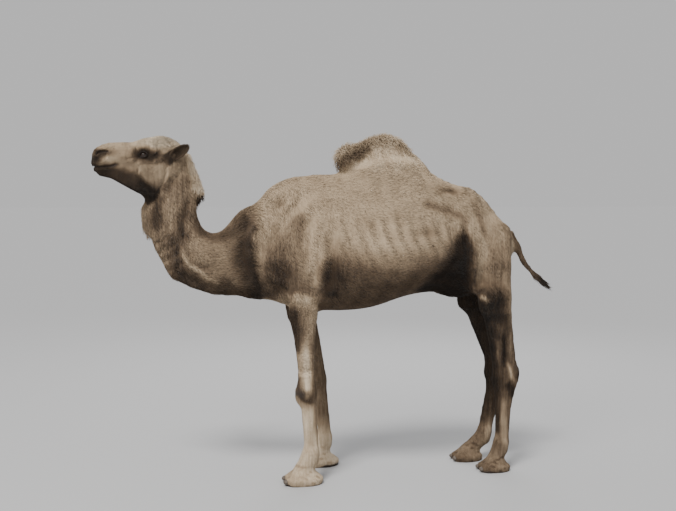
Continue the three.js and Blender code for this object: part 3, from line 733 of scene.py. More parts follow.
def rim_point(side, angle, radius):
    """A point on the edge of the opening, at an angle round it, 0 toward the nose."""
    outward, ahead, up = eye_axes(side)
    power = 2 / CORNERS
    along = OPENING[0] * math.copysign(abs(math.cos(angle)) ** power, math.cos(angle))
    rise = OPENING[1] * math.copysign(abs(math.sin(angle)) ** power, math.sin(angle))
    way = (outward * math.cos(along) + ahead * math.sin(along)) * math.cos(rise) + up * math.sin(rise)
    return EYE[side] + way * radius


def lid_rim(side):
    curve = bpy.data.curves.new("lid_rim", "CURVE")
    curve.dimensions = "3D"
    curve.bevel_depth = 0.0011
    curve.bevel_resolution = 2
    spline = curve.splines.new("POLY")
    spline.use_cyclic_u = True
    steps = 64
    spline.points.add(steps - 1)
    for point, step in zip(spline.points, range(steps)):
        point.co = (*rim_point(side, step / steps * 2 * math.pi, EYE_RADIUS + 0.0013), 1)
    source = bpy.data.objects.new("rim_source", curve)
    mesh = bpy.data.meshes.new_from_object(source)
    bpy.data.objects.remove(source)
    shade_smooth(mesh)
    return linked(f"{SIDE_NAMES[side]}_lid_rim", mesh)


eyeballs = {side: eyeball(side) for side in SIDES}
rims = {side: lid_rim(side) for side in SIDES}
print("eyeballs", [len(e.data.polygons) for e in eyeballs.values()])

# %% [markdown]
# Each toe ends in a small worn nail. The solids of the nails are rounded off by subdivision, and
# grown a little so that their roots stay under the skin.

# %% Nails
NAIL_GROWTH = 1.14
nails = {}
for name in NAILS:
    bm = swollen_copies([name], 0)
    centre = middle(name)
    bmesh.ops.transform(bm, matrix=Matrix.Translation(-centre), verts=bm.verts)
    bmesh.ops.scale(bm, vec=(NAIL_GROWTH, NAIL_GROWTH, 1), verts=bm.verts)
    bmesh.ops.transform(bm, matrix=Matrix.Translation(centre + Vector((0.003, 0, 0.0003))), verts=bm.verts)
    nail = put_in_scene(bm, f"horn_{name}")
    rounding = nail.modifiers.new("rounding", "SUBSURF")
    rounding.levels = rounding.render_levels = 2
    baked_modifiers(nail)
    shade_smooth(nail.data)
    nails[name] = nail
print(len(nails), "nails rounded")

# %% [markdown]
# ## The lie, length and tone of the coat
# Hair grows away from the nose: back over face and crown, down the neck, back along the barrel, down
# shoulder, thigh and leg. A few lines drawn in the direction of growth say so, and each point of the
# skin takes the direction of the lines near it.

# %% Lie of the hair
NECK_LINE = [
    (-0.95, 1.76), (-0.923, 1.64), (-0.911, 1.53), (-0.889, 1.416), (-0.811, 1.306), (-0.653, 1.264)
]
LIE_LINES = [
    [(-1.37, 1.87), (-1.2, 1.93), (-1.05, 1.96), (-0.93, 1.94)],
    [(-1.36, 1.86), (-1.15, 1.85), (-1.0, 1.8), (-0.95, 1.76)],
    [(-1.36, 1.81), (-1.18, 1.75), (-1.05, 1.68), (-1.0, 1.6)],
    NECK_LINE + [(-0.5, 1.28)],
    [(-0.84, 1.9), (-0.8, 1.7), (-0.79, 1.58), (-0.7, 1.5), (-0.5, 1.6), (-0.4, 1.6)],
    [(-0.24, 1.8), (-0.33, 1.6), (-0.38, 1.4), (-0.34, 1.2), (-0.24, 1.0)],
    [(-0.3, 1.78), (0.0, 1.8), (0.45, 1.74), (0.8, 1.7), (1.0, 1.58), (1.1, 1.45)],
    [(-0.08, 1.62), (0.1, 1.46), (0.4, 1.36), (0.7, 1.28)],
    [(-0.14, 1.3), (0.0, 1.15), (0.4, 1.1), (0.72, 1.16)],
    [(0.66, 1.68), (0.8, 1.5), (0.85, 1.3), (0.88, 1.1), (0.96, 0.9)],
    [(1.04, 1.55), (1.06, 1.3), (1.04, 1.0), (1.04, 0.8)],
    [(1.1, 1.45), (1.16, 1.35), (1.21, 1.25), (1.27, 1.18), (1.37, 1.1)],
]
LINE_REACH = 0.11
HUMP_FOOT = 1.77  # the height at which the hump rises from the back

x, y, z = points.T
lie = np.zeros_like(points)
for line in LIE_LINES:
    distance, where = path_distance(line, x, z)
    steps = np.array(line[1:]) - np.array(line[:-1])
    steps /= np.linalg.norm(steps, axis=1)[:, None]
    middles = np.linspace(0.5 / len(steps), 1 - 0.5 / len(steps), len(steps))
    pull = np.exp(-((distance / LINE_REACH) ** 2)) + 1e-6
    lie[:, 0] += pull * np.interp(where, middles, steps[:, 0])
    lie[:, 2] += pull * np.interp(where, middles, steps[:, 1])
lie /= np.linalg.norm(lie, axis=1)[:, None]
up_hump = belongs(regions, "hump", "hump_wool") * smoothstep(HUMP_FOOT, HUMP_FOOT + 0.14, z)
down_the_hump = np.stack([np.full(len(x), 0.5), 0.5 * np.sign(y), np.full(len(x), -0.7)], 1)
lie += up_hump[:, None] * (down_the_hump - lie)
on_leg = belongs(regions, "forearm", "gaskin", "shank")
lie[on_leg] = (0.12, 0, -1)
lie[belongs(regions, "foot")] = (-0.35, 0, -0.9)
lie[belongs(regions, "throat_fringe")] = (0.1, 0, -1)
lie[belongs(regions, "nape_mane")] = (0.3, 0, -1)
lie[is_ear] = ear_along[is_ear]
lie = spread(lie, edges, 8)
lie -= normals * (lie * normals).sum(axis=1)[:, None]
lie /= np.maximum(np.linalg.norm(lie, axis=1), 1e-6)[:, None]
print("mean lie", lie.mean(axis=0).round(2))

# %% [markdown]
# Tone is painted with the same brushes that sculpted the form: a light sandy body that darkens to
# brown under the belly, before the shoulder and deep in the flank, a pale crown and pale forelegs, a
# dark band from the eye to a dark ear, and a dark under-jaw. The brown under the belly, before the
# shoulder and under the jaw is darker coat and partly painted shade, the dark deep in the flank is
# painted shadow, and light strokes on ribs and bones are painted highlights. 0 is the darkest brown,
# 1 pale cream.

# %% Tone of the coat
def ripple(places, scale, seed):
    """A smooth random number from -1 to 1 for each place, that changes over about the given length."""
    rng = np.random.default_rng(seed)
    total = np.zeros(len(places))
    for _ in range(7):
        wave = rng.normal(size=3)
        wave *= 2 * math.pi / scale / np.linalg.norm(wave) * rng.uniform(0.7, 1.4)
        total += np.sin(places @ wave + rng.uniform(0, 2 * math.pi))
    return total / 4


def wander(scale, seeds):
    return np.stack([ripple(points, scale, seed) for seed in seeds], 1)


# The marks are drawn on a slightly shifted copy of the places, so that their edges wander.
canvas = points + 0.006 * wander(0.06, (11, 12, 13))
canvas += 0.01 * wander(0.22, (14, 15, 16)) * (1 - belongs(regions, *HEAD_PARTS))[:, None]
x, y, z = canvas.T
BODY_TONE = 0.72
shade = np.full(len(points), BODY_TONE)


def paint(tone, strength, mask):
    """Draws the tone under the mask toward the given one."""
    global shade
    shade = shade + np.clip(mask, 0, 1) * strength * (tone - shade)


def paint_all(marks):
    """Paints named marks one over another. Each has its tone, its strength and its mask."""
    for mark in marks.values():
        paint(*mark)


def under(path, soft):
    """1 below a path drawn along the body, 0 above it, with a soft edge."""
    xs, zs = zip(*path)
    return smoothstep(soft, -soft, z - np.interp(x, xs, zs))


def soft_region(*endings, rounds=4):
    return spread(belongs(regions, *endings).astype(float), edges, rounds)


on_head = spread((belongs(regions, *HEAD_PARTS) | is_ear).astype(float), edges, 2)
on_neck = soft_region(*NECK_PARTS, rounds=10)
on_trunk = soft_region("trunk", "hump", "hump_wool", "shoulder", "thigh", rounds=4)
on_thigh = soft_region("thigh", rounds=10)
on_shoulder = soft_region("shoulder", rounds=10)
on_hump = soft_region("hump", "hump_wool", rounds=14) * smoothstep(HUMP_FOOT - 0.03, HUMP_FOOT + 0.1, z)
print("brush for tones ready, the coat starts at", BODY_TONE)

# %% Tones of the body
BELLY_EDGE = [
    (-0.3, 1.2), (-0.12, 1.3), (-0.059, 1.362), (0.04, 1.34), (0.125, 1.315), (0.213, 1.29), (0.3, 1.275),
    (0.39, 1.282), (0.477, 1.318), (0.596, 1.356), (0.668, 1.4), (0.76, 1.3), (0.84, 1.2),
]
UNDERSIDE = [(px, pz - 0.12) for px, pz in BELLY_EDGE]
BEHIND_ELBOW = [(-0.036, 1.31), (-0.02, 1.186), (-0.05, 1.06)]
FORE_CLOUD, MID_CLOUD = [(0.125, 1.537), (0.206, 1.469)], [(0.31, 1.582), (0.406, 1.456)]
HIP_HOLLOW = [(0.46, 1.63), (0.49, 1.622), (0.595, 1.6), (0.69, 1.57), (0.763, 1.517), (0.79, 1.45)]
RIB_HIGHLIGHT = [(0.229, 1.594), (0.288, 1.514), (0.341, 1.422)]
SHORT_RIB_HIGHLIGHT = [(0.346, 1.553), (0.417, 1.467)]
BLADE_SHADE = [(-0.19, 1.57), (-0.215, 1.49), (-0.235, 1.4)]
SHOULDER_HIGHLIGHT = [(-0.426, 1.573), (-0.445, 1.445), (-0.457, 1.35), (-0.447, 1.27)]
THIGH_EDGE = [(0.79, 1.45), (0.803, 1.34), (0.81, 1.24), (0.822, 1.15), (0.85, 1.06)]
CROUP_HIGHLIGHT = [(0.82, 1.68), (0.86, 1.64), (0.93, 1.557), (1.01, 1.43), (1.04, 1.33)]
CROUP_SEAM = [(0.823, 1.69), (0.841, 1.615), (0.87, 1.545), (0.9, 1.452), (0.929, 1.371)]
behind_shoulder = smoothstep(-0.13, -0.04, x) * smoothstep(0.9, 0.8, x)
shaded_lower_thigh = smoothstep(1.25, 1.0, z - 0.35 * (x - 0.88))
trunk_marks = {
    # belly and underside: darker coat under the barrel, partly painted shade where the body turns away from
    # the light
    "belly": (0.36, 1, on_trunk * under(BELLY_EDGE, 0.115) * behind_shoulder),
    "underside": (0.31, 1, on_trunk * under(UNDERSIDE, 0.09) * behind_shoulder),
    # painted shade in the sculpted hollow behind the elbow
    "behind the elbow": (0.08, 0.85, stroke(BEHIND_ELBOW, 0.045) * on_trunk),
    "clouds on the ribs": (0.52, 0.6, stroke(FORE_CLOUD, 0.03) + stroke(MID_CLOUD, 0.02)),
    # painted shade in the sculpted hollows behind the ribs, before the hip and in the croup
    "hollow behind the ribs": (0.38, 0.75, spot(0.51, 1.44, 0.07, 0.035)),
    "hollow before the hip": (0.33, 0.8, stroke(HIP_HOLLOW, 0.024)),
    "hollow of the croup": (0.28, 0.85, spot(0.7, 1.69, 0.075, 0.02)),
    # painted highlights on the sculpted ribs
    "light rib": (0.82, 0.6, stroke(RIB_HIGHLIGHT, 0.02, 0.35)),
    "short light rib": (0.82, 0.6, stroke(SHORT_RIB_HIGHLIGHT, 0.02, 0.35)),
}
# painted highlights along each sculpted rib
for rib in range(7):
    start = 0.05 + 0.076 * rib
    path = [(start, 1.55), (start + 0.06, 1.4), (start + 0.12, 1.3)]
    trunk_marks[f"rib {rib}"] = (0.86, 0.16 + 0.12 * (rib % 3), stroke(path, 0.015, 0.35))
quarter_marks = {
    "shoulder": (0.59, 0.8, on_shoulder),
    # painted shade along the shoulder blade
    "along the blade": (0.36, 0.75, spot(-0.314, 1.628, 0.035, 0.03) + stroke(BLADE_SHADE, 0.035)),
    "mid shoulder": (0.52, 0.7, spot(-0.32, 1.42, 0.1, 0.08)),
    "lower shoulder": (0.38, 0.75, spot(-0.33, 1.34, 0.11, 0.09)),
    # painted shade in the sculpted hollow of the shoulder over the elbow, and under the chest before it
    "over the elbow": (0.08, 0.95, spot(-0.33, 1.215, 0.11, 0.085)),
    "before the elbow": (0.16, 0.85, spot(-0.28, 1.13, 0.13, 0.05)),
    # painted highlight on the raised front edge of the shoulder
    "front of the shoulder": (0.74, 0.8, stroke(SHOULDER_HIGHLIGHT, 0.025)),
    "triceps": (0.76, 0.85, stroke(TRICEPS_RIDGE, 0.034)),
    # painted shadow deep in the hollow of the flank
    "hollow of the flank": (0.02, 1, 1.4 * flank_hollow()),
    "thigh": (0.55, 1, on_thigh * smoothstep(0.8, 0.86, x)),
    "lower thigh": (0.5, 1, on_thigh * smoothstep(1.3, 1.1, z)),
    # painted shade over the thigh above the stifle, running on from the flank's shadow
    "thigh above the stifle": (0.2, 0.9, on_thigh * shaded_lower_thigh * smoothstep(1.05, 0.92, x)),
    # painted shadow of the flank along the thigh's front edge
    "front edge of the thigh": (0.14, 0.85, stroke(THIGH_EDGE, 0.026, 0.3)),
    # painted shade in the sculpted seam of the thigh
    "seam of the thigh": (0.36, 0.8, on_thigh * stroke(THIGH_SEAM, 0.026)),
    # painted light on the croup and the thigh's lit rear edge, and a painted highlight on the raised hip
    # bone
    "croup": (0.76, 0.65, stroke(CROUP_HIGHLIGHT, 0.04)),
    "hip bone": (0.74, 0.6, spot(0.8, 1.7, 0.03, 0.025)),
    "seam of the croup": (0.4, 0.7, stroke(CROUP_SEAM, 0.019)),
    "hump": (0.84, 1, on_hump),
}
paint_all(trunk_marks)
paint_all(quarter_marks)
shade = spread(shade, edges, 2)
print("body tones", round(shade.min(), 2), "to", round(shade.max(), 2))

# %% [markdown]
# Painted shade darkens the hollows between the bones, the gaskin (partly its own darker coat), the point
# and underside of the hock, the rear of the forelegs and the inner sides of the legs, and painted
# highlights lie on stifle, hock and the thigh's rear edge. The forelegs are paler than the hind legs.
# The knees wear bare horny pads, as do the chest and small places on stifles and hocks. The soles are
# dark leather.
# That bare skin is a mask of its own. Strokes on a leg follow the leg's own axis.

# %% Tones of the legs
FORE_FRONT = [(-0.262, 1.05), (-0.245, 0.95), (-0.225, 0.85), (-0.205, 0.75)]
FORE_MARKS = {  # tone, strength, path and width, and sometimes how much of each end is faded
    "fold of the elbow": (0.82, 0.9, [(-0.26, 1.1), (-0.19, 1.085), (-0.13, 1.07)], 0.026),
    "front of the forearm": (0.15, 0.94, FORE_FRONT, 0.042),
    "rear of the forearm": (0.76, 0.8, [(-0.135, 1.05), (-0.115, 0.95), (-0.12, 0.85)], 0.026),
    "lower forearm": (0.96, 0.96, [(-0.185, 0.9), (-0.18, 0.76), (-0.17, 0.66), (-0.165, 0.55)], 0.034, 0.4),
}
KNEE_RIM = [
    (-0.222, 0.635), (-0.228, 0.59), (-0.223, 0.55), (-0.19, 0.505), (-0.15, 0.49), (-0.12, 0.54),
    (-0.115, 0.6),
]
KNEE_MARKS = {
    "rim of the knee's pad": (0.2, 0.9, KNEE_RIM, 0.016, 0.05),
    "kneecap": (0.98, 0.95, [(-0.175, 0.66), (-0.168, 0.6), (-0.168, 0.55)], 0.028),
}
DARK_FRONT = [
    (0.83, 1.2), (0.85, 1.05), (0.88, 0.97), (0.92, 0.9), (0.95, 0.82), (0.962, 0.74), (0.97, 0.6),
    (0.98, 0.45), (0.985, 0.3),
]
MID_GASKIN = [(0.96, 1.18), (0.975, 1.06), (0.97, 1.0), (0.98, 0.92), (1.0, 0.84)]
HOCK_HOLLOW = [(1.02, 0.86), (1.032, 0.78), (1.033, 0.7), (1.03, 0.62)]
HIND_MARKS = {
    # gaskin, dark front and middle of the gaskin: darker coat, partly painted shade
    "gaskin": (0.03, 0.98, [(0.885, 1.14), (0.92, 1.05), (0.935, 0.97), (0.93, 0.88)], 0.075, 0.42),
    "dark front": (0.04, 0.97, DARK_FRONT, 0.042, 0.14),
    "middle of the gaskin": (0.05, 0.93, MID_GASKIN, 0.045, 0.45),
    # painted light along the lit rear edge of the gaskin
    "rear of the gaskin": (0.6, 0.8, [(1.05, 1.15), (1.064, 1.06), (1.072, 0.96), (1.076, 0.86)], 0.02, 0.3),
    # painted shade in the hollow over the hock
    "hollow over the hock": (0.05, 0.94, HOCK_HOLLOW, 0.019, 0.2),
    "front tendon": (0.6, 0.7, [(0.98, 0.86), (0.99, 0.76), (1.0, 0.62)], 0.009, 0.45),
    "rear tendon": (0.66, 0.8, [(1.066, 0.88), (1.074, 0.78), (1.078, 0.66)], 0.011, 0.45),
    # painted highlight on the hock
    "light of the hock": (0.84, 0.95, [(1.045, 0.7), (1.073, 0.62), (1.092, 0.56), (1.1, 0.5)], 0.012, 0.4),
    # painted shade on the point of the hock and under it
    "point of the hock": (0.05, 0.94, [(1.145, 0.68), (1.142, 0.6), (1.13, 0.55)], 0.025, 0.1),
    "under the hock": (0.06, 0.9, [(1.05, 0.56), (1.085, 0.5), (1.088, 0.43)], 0.024),
    "across the hock": (0.26, 0.75, [(0.985, 0.65), (1.02, 0.61), (1.06, 0.59)], 0.022, 0.4),
}
SHANK_MARKS = {
    "outer cannon bone": (0.76, 0.9, [(1.02, 0.5), (1.03, 0.36), (1.045, 0.2), (1.045, 0.05)], 0.022, 0.3),
    # painted shade on the front of the hind shank
    "front of the shank": (0.12, 0.9, [(0.985, 0.5), (0.995, 0.36), (0.99, 0.22)], 0.02),
}
bare = np.zeros(len(points))
leg_wander = 0.004 * ripple(points * (1, 1, 0.4), 0.03, 31)


def leg_stroke(leg, path, width, faded=0.15):
    """A soft line on a leg. Its path is drawn on the left leg and follows each leg's own axis."""
    heights, axis = legs[f"left_{leg['end']}"]["axis"]
    own_path = [(px - np.interp(pz, heights, axis), pz) for px, pz in path]
    distance, where = path_distance(own_path, leg["before"] + leg_wander, z)
    return bell(distance, 0, width) * smoothstep(0, faded, where) * smoothstep(0, faded, 1 - where)


def paint_leg(own, leg, marks):
    for tone, strength, *line in marks.values():
        paint(tone, strength, own * leg_stroke(leg, *line))


for name, leg in legs.items():
    own = spread(leg["own"].astype(float), edges, 6)
    root = soft_region(f"{name}_shoulder", f"{name}_thigh", rounds=6) * smoothstep(1.24, 1.1, z)
    own = np.clip(own + root, 0, 1)
    before = leg["before"]
    if leg["end"] == "fore":
        foot_tone, inner_shade_tone = 0.86, 0.42
        paint(0.58, 1, own * smoothstep(1.14, 0.98, z))
        paint_leg(own, leg, FORE_MARKS)
        paint(foot_tone, 1, own * smoothstep(0.5, 0.43, z))
        paint_leg(own, leg, KNEE_MARKS)
        pad = np.exp(-(((z - 0.535) / 0.048) ** 4)) * smoothstep(0.0, -0.022, before)
        bare += own * pad * (0.65 + 0.35 * np.sin(90 * z + 40 * y))
        # painted shade on the rear of the foreleg, which faces away from the light
        rear = own * smoothstep(0.018, 0.034, before)
        paint(0.42, 0.6, rear * smoothstep(0.2, 0.3, z) * smoothstep(0.95, 0.8, z))
    else:
        foot_tone, inner_shade_tone = 0.5, 0.12
        paint(0.38, 1, own * smoothstep(1.2, 0.98, z))
        paint_leg(own, leg, HIND_MARKS)
        paint(0.42, 0.8, own * smoothstep(0.5, 0.36, z))
        paint_leg(own, leg, SHANK_MARKS)
        bare += own * bell(z, 0.63, 0.02) * smoothstep(0.045, 0.06, before) * 0.6
    # the inner sides of the legs are darkened as painted shade
    inner = smoothstep(0.1, -0.5, normals[:, 1] * leg["side"])
    speckle = own * smoothstep(0.3, 0.9, ripple(points, 0.035, 21))
    paint(inner_shade_tone, 0.88, own * inner * smoothstep(0.16, 0.34, z))
    paint(foot_tone, 1, own * smoothstep(0.17, 0.06, z))
    paint(foot_tone - 0.16, 0.7, own * smoothstep(0.02, -0.05, before) * smoothstep(0.09, 0.03, z))
    paint(foot_tone - 0.3, 0.6, speckle * smoothstep(0.16, 0.1, z))
    bare += own * smoothstep(0.012, 0.004, z)
# painted highlight on the outer side of each stifle
STIFLE_HIGHLIGHT = [(0.855, 1.058), (0.9, 1.066), (0.935, 1.03)]
outer_side = smoothstep(0, 0.4, normals[:, 1] * np.sign(y))
paint(0.88, 0.9, stroke(STIFLE_HIGHLIGHT, 0.017, 0.35) * outer_side)
bare += soft_region("chest_pad", rounds=2)
bare += 0.4 * spot(0.9, 1.04, 0.014, 0.014)
print("leg tones", round(shade.min(), 2), "to", round(shade.max(), 2))

# %% [markdown]
# The neck carries the deepest pattern: a dark furrow sweeps from the throat under the neck to the
# chest, with a light cord beside it, and a dark stripe runs down behind the jaw. The underside of the
# neck and the band before the shoulder are darker partly as painted shade. On the head the muzzle's
# front, the eye's surround, the ear and the under-jaw are dark, and all else is pale; the under-jaw's
# dark is partly painted shade.

# %% Tones of the neck
UNDER_NECK = [(-0.87, 1.17), (-0.77, 1.125), (-0.65, 1.113), (-0.45, 1.11)]
NAPE = [(-0.79, 1.57), (-0.765, 1.47), (-0.7, 1.43), (-0.62, 1.435), (-0.55, 1.47), (-0.47, 1.54)]
UPPER_LIGHT = [(-0.93, 1.66), (-0.93, 1.6), (-0.955, 1.53)]
LOWER_LIGHT = [(-0.8, 1.42), (-0.76, 1.33), (-0.68, 1.3), (-0.6, 1.33)]
neck_marks = {
    "neck": (0.51, 1, 1),
    "upper light": (0.62, 0.85, stroke(UPPER_LIGHT, 0.035, 0.1)),
    "lower light": (0.56, 0.8, stroke(LOWER_LIGHT, 0.05, 0.1)),
    "furrow": (0.21, 0.9, stroke(NECK_FURROW, 0.045, 0.08)),
    # darker coat under the neck, partly painted shade
    "under the neck": (0.28, 0.85, stroke(UNDER_NECK, 0.045, 0.1, facing=0.02)),
    "crease": (0.36, 0.8, stroke(NECK_CREASE, 0.012)),
    "cord": (0.84, 0.9, stroke(NECK_CORD, 0.013)),
    "below the cord": (0.62, 0.6, stroke([(-0.8, 1.17), (-0.73, 1.16), (-0.66, 1.17)], 0.018)),
    "stripe behind the jaw": (0.16, 0.9, stroke(NECK_STRIPE, 0.026)),
    "throat": (0.28, 0.7, stroke([(-1.03, 1.6), (-1.02, 1.52), (-1.02, 1.44)], 0.034, 0.4)),
    "below the throat": (0.56, 0.7, stroke([(-1.01, 1.39), (-0.985, 1.31), (-0.955, 1.24)], 0.03)),
    "nape": (0.24, 0.85, stroke(NAPE, 0.032, 0.1, facing=0.02)),
}
for tone, strength, mark in neck_marks.values():
    paint(tone, strength, on_neck * mark)
# painted shade in the groove where the neck meets the front edge of the shoulder
EDGE_HEIGHTS = [1.12, 1.2, 1.28, 1.35, 1.42, 1.53, 1.62]
shoulder_edge = np.interp(z, EDGE_HEIGHTS, [-0.42, -0.445, -0.47, -0.483, -0.471, -0.454, -0.437])
shade_before_shoulder = smoothstep(shoulder_edge - 0.15, shoulder_edge - 0.03, x)
shade_before_shoulder *= smoothstep(shoulder_edge + 0.014, shoulder_edge - 0.014, x)
shade_before_shoulder *= 0.45 * smoothstep(1.62, 1.5, z) + 0.55 * smoothstep(1.5, 1.38, z)
paint(0.1, 0.92, shade_before_shoulder)
# darker coat along the low chest, partly painted shade
paint(0.2, 0.8, stroke([(-0.47, 1.12), (-0.38, 1.11), (-0.3, 1.1)], 0.05))
print("neck painted with", len(neck_marks), "marks")

# %% Tones of the head
JAW_EDGE = [
    (-1.4, 1.8), (-1.3, 1.812), (-1.247, 1.822), (-1.208, 1.815), (-1.154, 1.804), (-1.1, 1.778),
    (-1.06, 1.74), (-0.99, 1.71), (-0.9, 1.715),
]
EYE_STRIPE = [(-1.05, 1.89), (-1.01, 1.886), (-0.97, 1.886), (-0.93, 1.88)]
BEHIND_JAW = [(-0.915, 1.78), (-0.935, 1.73), (-0.965, 1.68)]
POLL_STREAK = [(-0.83, 1.8), (-0.826, 1.75), (-0.825, 1.69)]
NAPE_STREAK = [(-0.86, 1.8), (-0.865, 1.75), (-0.875, 1.68)]
THROAT_STREAK = [(-0.99, 1.69), (-1.0, 1.62), (-1.01, 1.54), (-1.01, 1.46)]
CREST_SHADE = [(0.0, 1.82), (0.03, 1.846), (0.1, 1.89), (0.18, 1.93), (0.24, 1.96)]
head_wide = spread((belongs(regions, *HEAD_PARTS) | is_ear).astype(float), edges, 14)
head_wide = smoothstep(0.25, 0.75, head_wide)
patches = 0.5 + 0.5 * np.sin(70 * x + 3 * np.sin(60 * z)) * np.cos(80 * z + 2 * np.sin(50 * x))
eye_x, eye_z = EYE[-1].x, EYE[-1].z
from_mouth = path_distance(MOUTH_LINE, x, z)[0]
upper_front = on_head * smoothstep(-1.325, -1.35, x) * smoothstep(1.9, 1.87, z)
mane, fringe = soft_region("nape_mane", rounds=3), soft_region("throat_fringe", rounds=3)
face_dots = spot(-1.253, 1.907, 0.009, 0.006) + spot(-1.198, 1.872, 0.014, 0.01)
head_marks = {
    "head": (0.66, 1, head_wide),
    "top of the head": (0.78 + 0.12 * smoothstep(-1.16, -1.06, x), 1, head_wide * smoothstep(1.9, 1.95, z)),
    "crown": (1.0, 1, head_wide * smoothstep(1.92, 1.96, z) * smoothstep(-1.12, -1.05, x)),
    "cheek": (0.72, 0.8, head_wide * spot(-0.99, 1.79, 0.06, 0.035)),
    "side of the muzzle": (0.78, 0.8, head_wide * spot(-1.27, 1.87, 0.04, 0.018)),
    # darker coat under the jaw, partly painted shade
    "under-jaw": (0.12, 0.97, head_wide * under(JAW_EDGE, 0.034)),
    "behind the jaw": (0.32, 0.6, stroke(BEHIND_JAW, 0.024)),
    "streak from the poll": (0.3, 0.6, stroke(POLL_STREAK, 0.018, 0.4)),
    "streak from the nape": (0.36, 0.6, stroke(NAPE_STREAK, 0.022)),
    "upper lip": (0.2, 0.85, upper_front * smoothstep(1.79, 1.83, z)),
    "front of the nose": (0.08, 0.95, on_head * spot(-1.34, 1.868, 0.032, 0.026)),
    "lower lip": (0.13, 0.95, on_head * smoothstep(-1.2, -1.25, x) * smoothstep(1.826, 1.812, z)),
    "mouth": (0.1, 0.9, on_head * bell(from_mouth, 0, 0.013) * smoothstep(-1.2, -1.24, x)),
    "nostril": (0.08, 0.97, on_head * spot(-1.315, 1.906, 0.048, 0.021, 0.05)),
    "dots of the face": (0.42, 0.7, on_head * face_dots),
    "light under the nostril": (0.84, 0.8, on_head * spot(-1.275, 1.868, 0.026, 0.016)),
    "stripe from eye to ear": (0.33 + 0.16 * patches, 0.85, stroke(EYE_STRIPE, 0.026, 0, facing=0.05)),
    "eye": (0.05, 1, 1.25 * spot(eye_x - 0.004, eye_z + 0.001, 0.044, 0.034, 0.05) * head_wide),
    "behind the eye": (0.08, 1, 1.2 * spot(eye_x + 0.04, eye_z - 0.006, 0.036, 0.028, 0.05) * head_wide),
    "under the eye": (0.3, 0.6, spot(eye_x + 0.01, eye_z - 0.036, 0.034, 0.014) * head_wide),
    "foot of the ear": (0.1, 0.9, stroke([(-0.955, 1.915), (-0.94, 1.88), (-0.92, 1.845)], 0.028, 0.1)),
    "tear groove": (0.5, 0.6, stroke([(-1.11, 1.868), (-1.15, 1.862), (-1.197, 1.874)], 0.014)),
    "lids": (0.04, 1, bell(np.maximum(almond - 1.0, 0), 0, 0.5)),
    "ears": (0.31, 1, is_ear.astype(float)),
    "mane": (0.92, 1, mane),
    "knob of the mane": (0.1, 1, mane * smoothstep(1.7, 1.65, z)),
    "throat fringe": (0.6, 1, fringe),
    "streak down the throat": (0.2, 0.88, stroke(THROAT_STREAK, 0.03, 0.2)),
    # painted shadow under the overhanging wool of the hump
    "foot of the hump's wool": (0.3, 0.85, stroke(CREST_SHADE, 0.026, 0.08, facing=0.02)),
    "tail": (0.38, 1, soft_region("tail_dock")),
    "tassel": (0.2, 1, soft_region("tail_tuft", "tail_dock") * smoothstep(1.2, 1.3, x)),
}
paint_all(head_marks)
bare += bell(np.maximum(almond - 0.95, 0), 0, 0.3)
bare += on_head * stroke(NOSTRIL, 0.0065, 0, facing=0.2)
bare += on_head * bell(from_mouth, 0, 0.006) * smoothstep(-1.2, -1.23, x)
bare = np.clip(bare, 0, 1)
shade = np.clip(shade, 0.02, 1.0)
store(skin.data, "shade", shade)
store(skin.data, "bare", bare)
store(skin.data, "downward", np.abs(lie[:, 2]))
print("bare skin on", int((bare > 0.5).sum()), "points")

# %% [markdown]
# ## The coat
# A tuft is a slender solid wedge of hair: three-sided at the root, straight or bent on its way and
# pointed at its tip. All tufts of one kind are made together as arrays, a row of numbers for each
# tuft, which is how two hundred thousand of them take a few seconds. Their roots are spread evenly by
# area over the triangles of the skin, and each tuft takes lie, length and tone from its own root.

# %% Roots of the hair
skin.data.calc_loop_triangles()
triangles = np.empty(len(skin.data.loop_triangles) * 3, np.int32)
skin.data.loop_triangles.foreach_get("vertices", triangles)
triangles = triangles.reshape(-1, 3)
corners = points[triangles]
areas = np.linalg.norm(np.cross(corners[:, 1] - corners[:, 0], corners[:, 2] - corners[:, 0]), axis=1) / 2


def planted(spacing, where, seed):
    """Roots about this far apart where the mask is 1: their triangles and their places in them."""
    rng = np.random.default_rng(seed)
    wanted = areas * where[triangles].mean(axis=1) / spacing**2
    total = np.cumsum(wanted)
    count = int(total[-1])
    chosen = np.searchsorted(total, (np.arange(count) + rng.random(count)) / count * total[-1])
    chosen = np.minimum(chosen, len(triangles) - 1)
    a, b = np.sqrt(rng.random(count)), rng.random(count)
    weights = np.stack([1 - a, a * (1 - b), a * b], 1)
    return triangles[chosen], weights


def at_roots(values, roots):
    owners, weights = roots
    if values.ndim == 1:
        return (values[owners] * weights).sum(axis=1)
    return (values[owners] * weights[:, :, None]).sum(axis=1)


def unit(vectors):
    return vectors / np.maximum(np.linalg.norm(vectors, axis=1), 1e-9)[:, None]


def bake_map(places, facing):
    """A place on an unwrap for each root: one of six cells by the side that the skin there faces."""
    low, high = places.min(axis=0), places.max(axis=0)
    share = (places - low) / np.maximum(high - low, 1e-6)
    axis = np.abs(facing).argmax(axis=1)
    front = facing[np.arange(len(axis)), axis] > 0
    across = np.where(axis == 0, share[:, 1], share[:, 0])
    rise = np.where(axis == 2, share[:, 1], share[:, 2])
    return np.stack([(axis + 0.02 + 0.94 * across) / 3, (front + 0.02 + 0.94 * rise) / 2], 1)


print("the skin to be covered is", round(areas.sum(), 2), "square metres")


# %% [markdown]
# The wedge's path leaves the skin at a small angle and then bends back to it, so that tufts lap over
# each other like straw on a roof. Curl is a sideways and upward swing along the way, which is near
# nothing on a flank and large in the wool.

# %% A field of tufts
PATCH = 0.003  # a tuft's width on its unwrap
SUNK = 0.22  # how much of its width a root lies under the skin


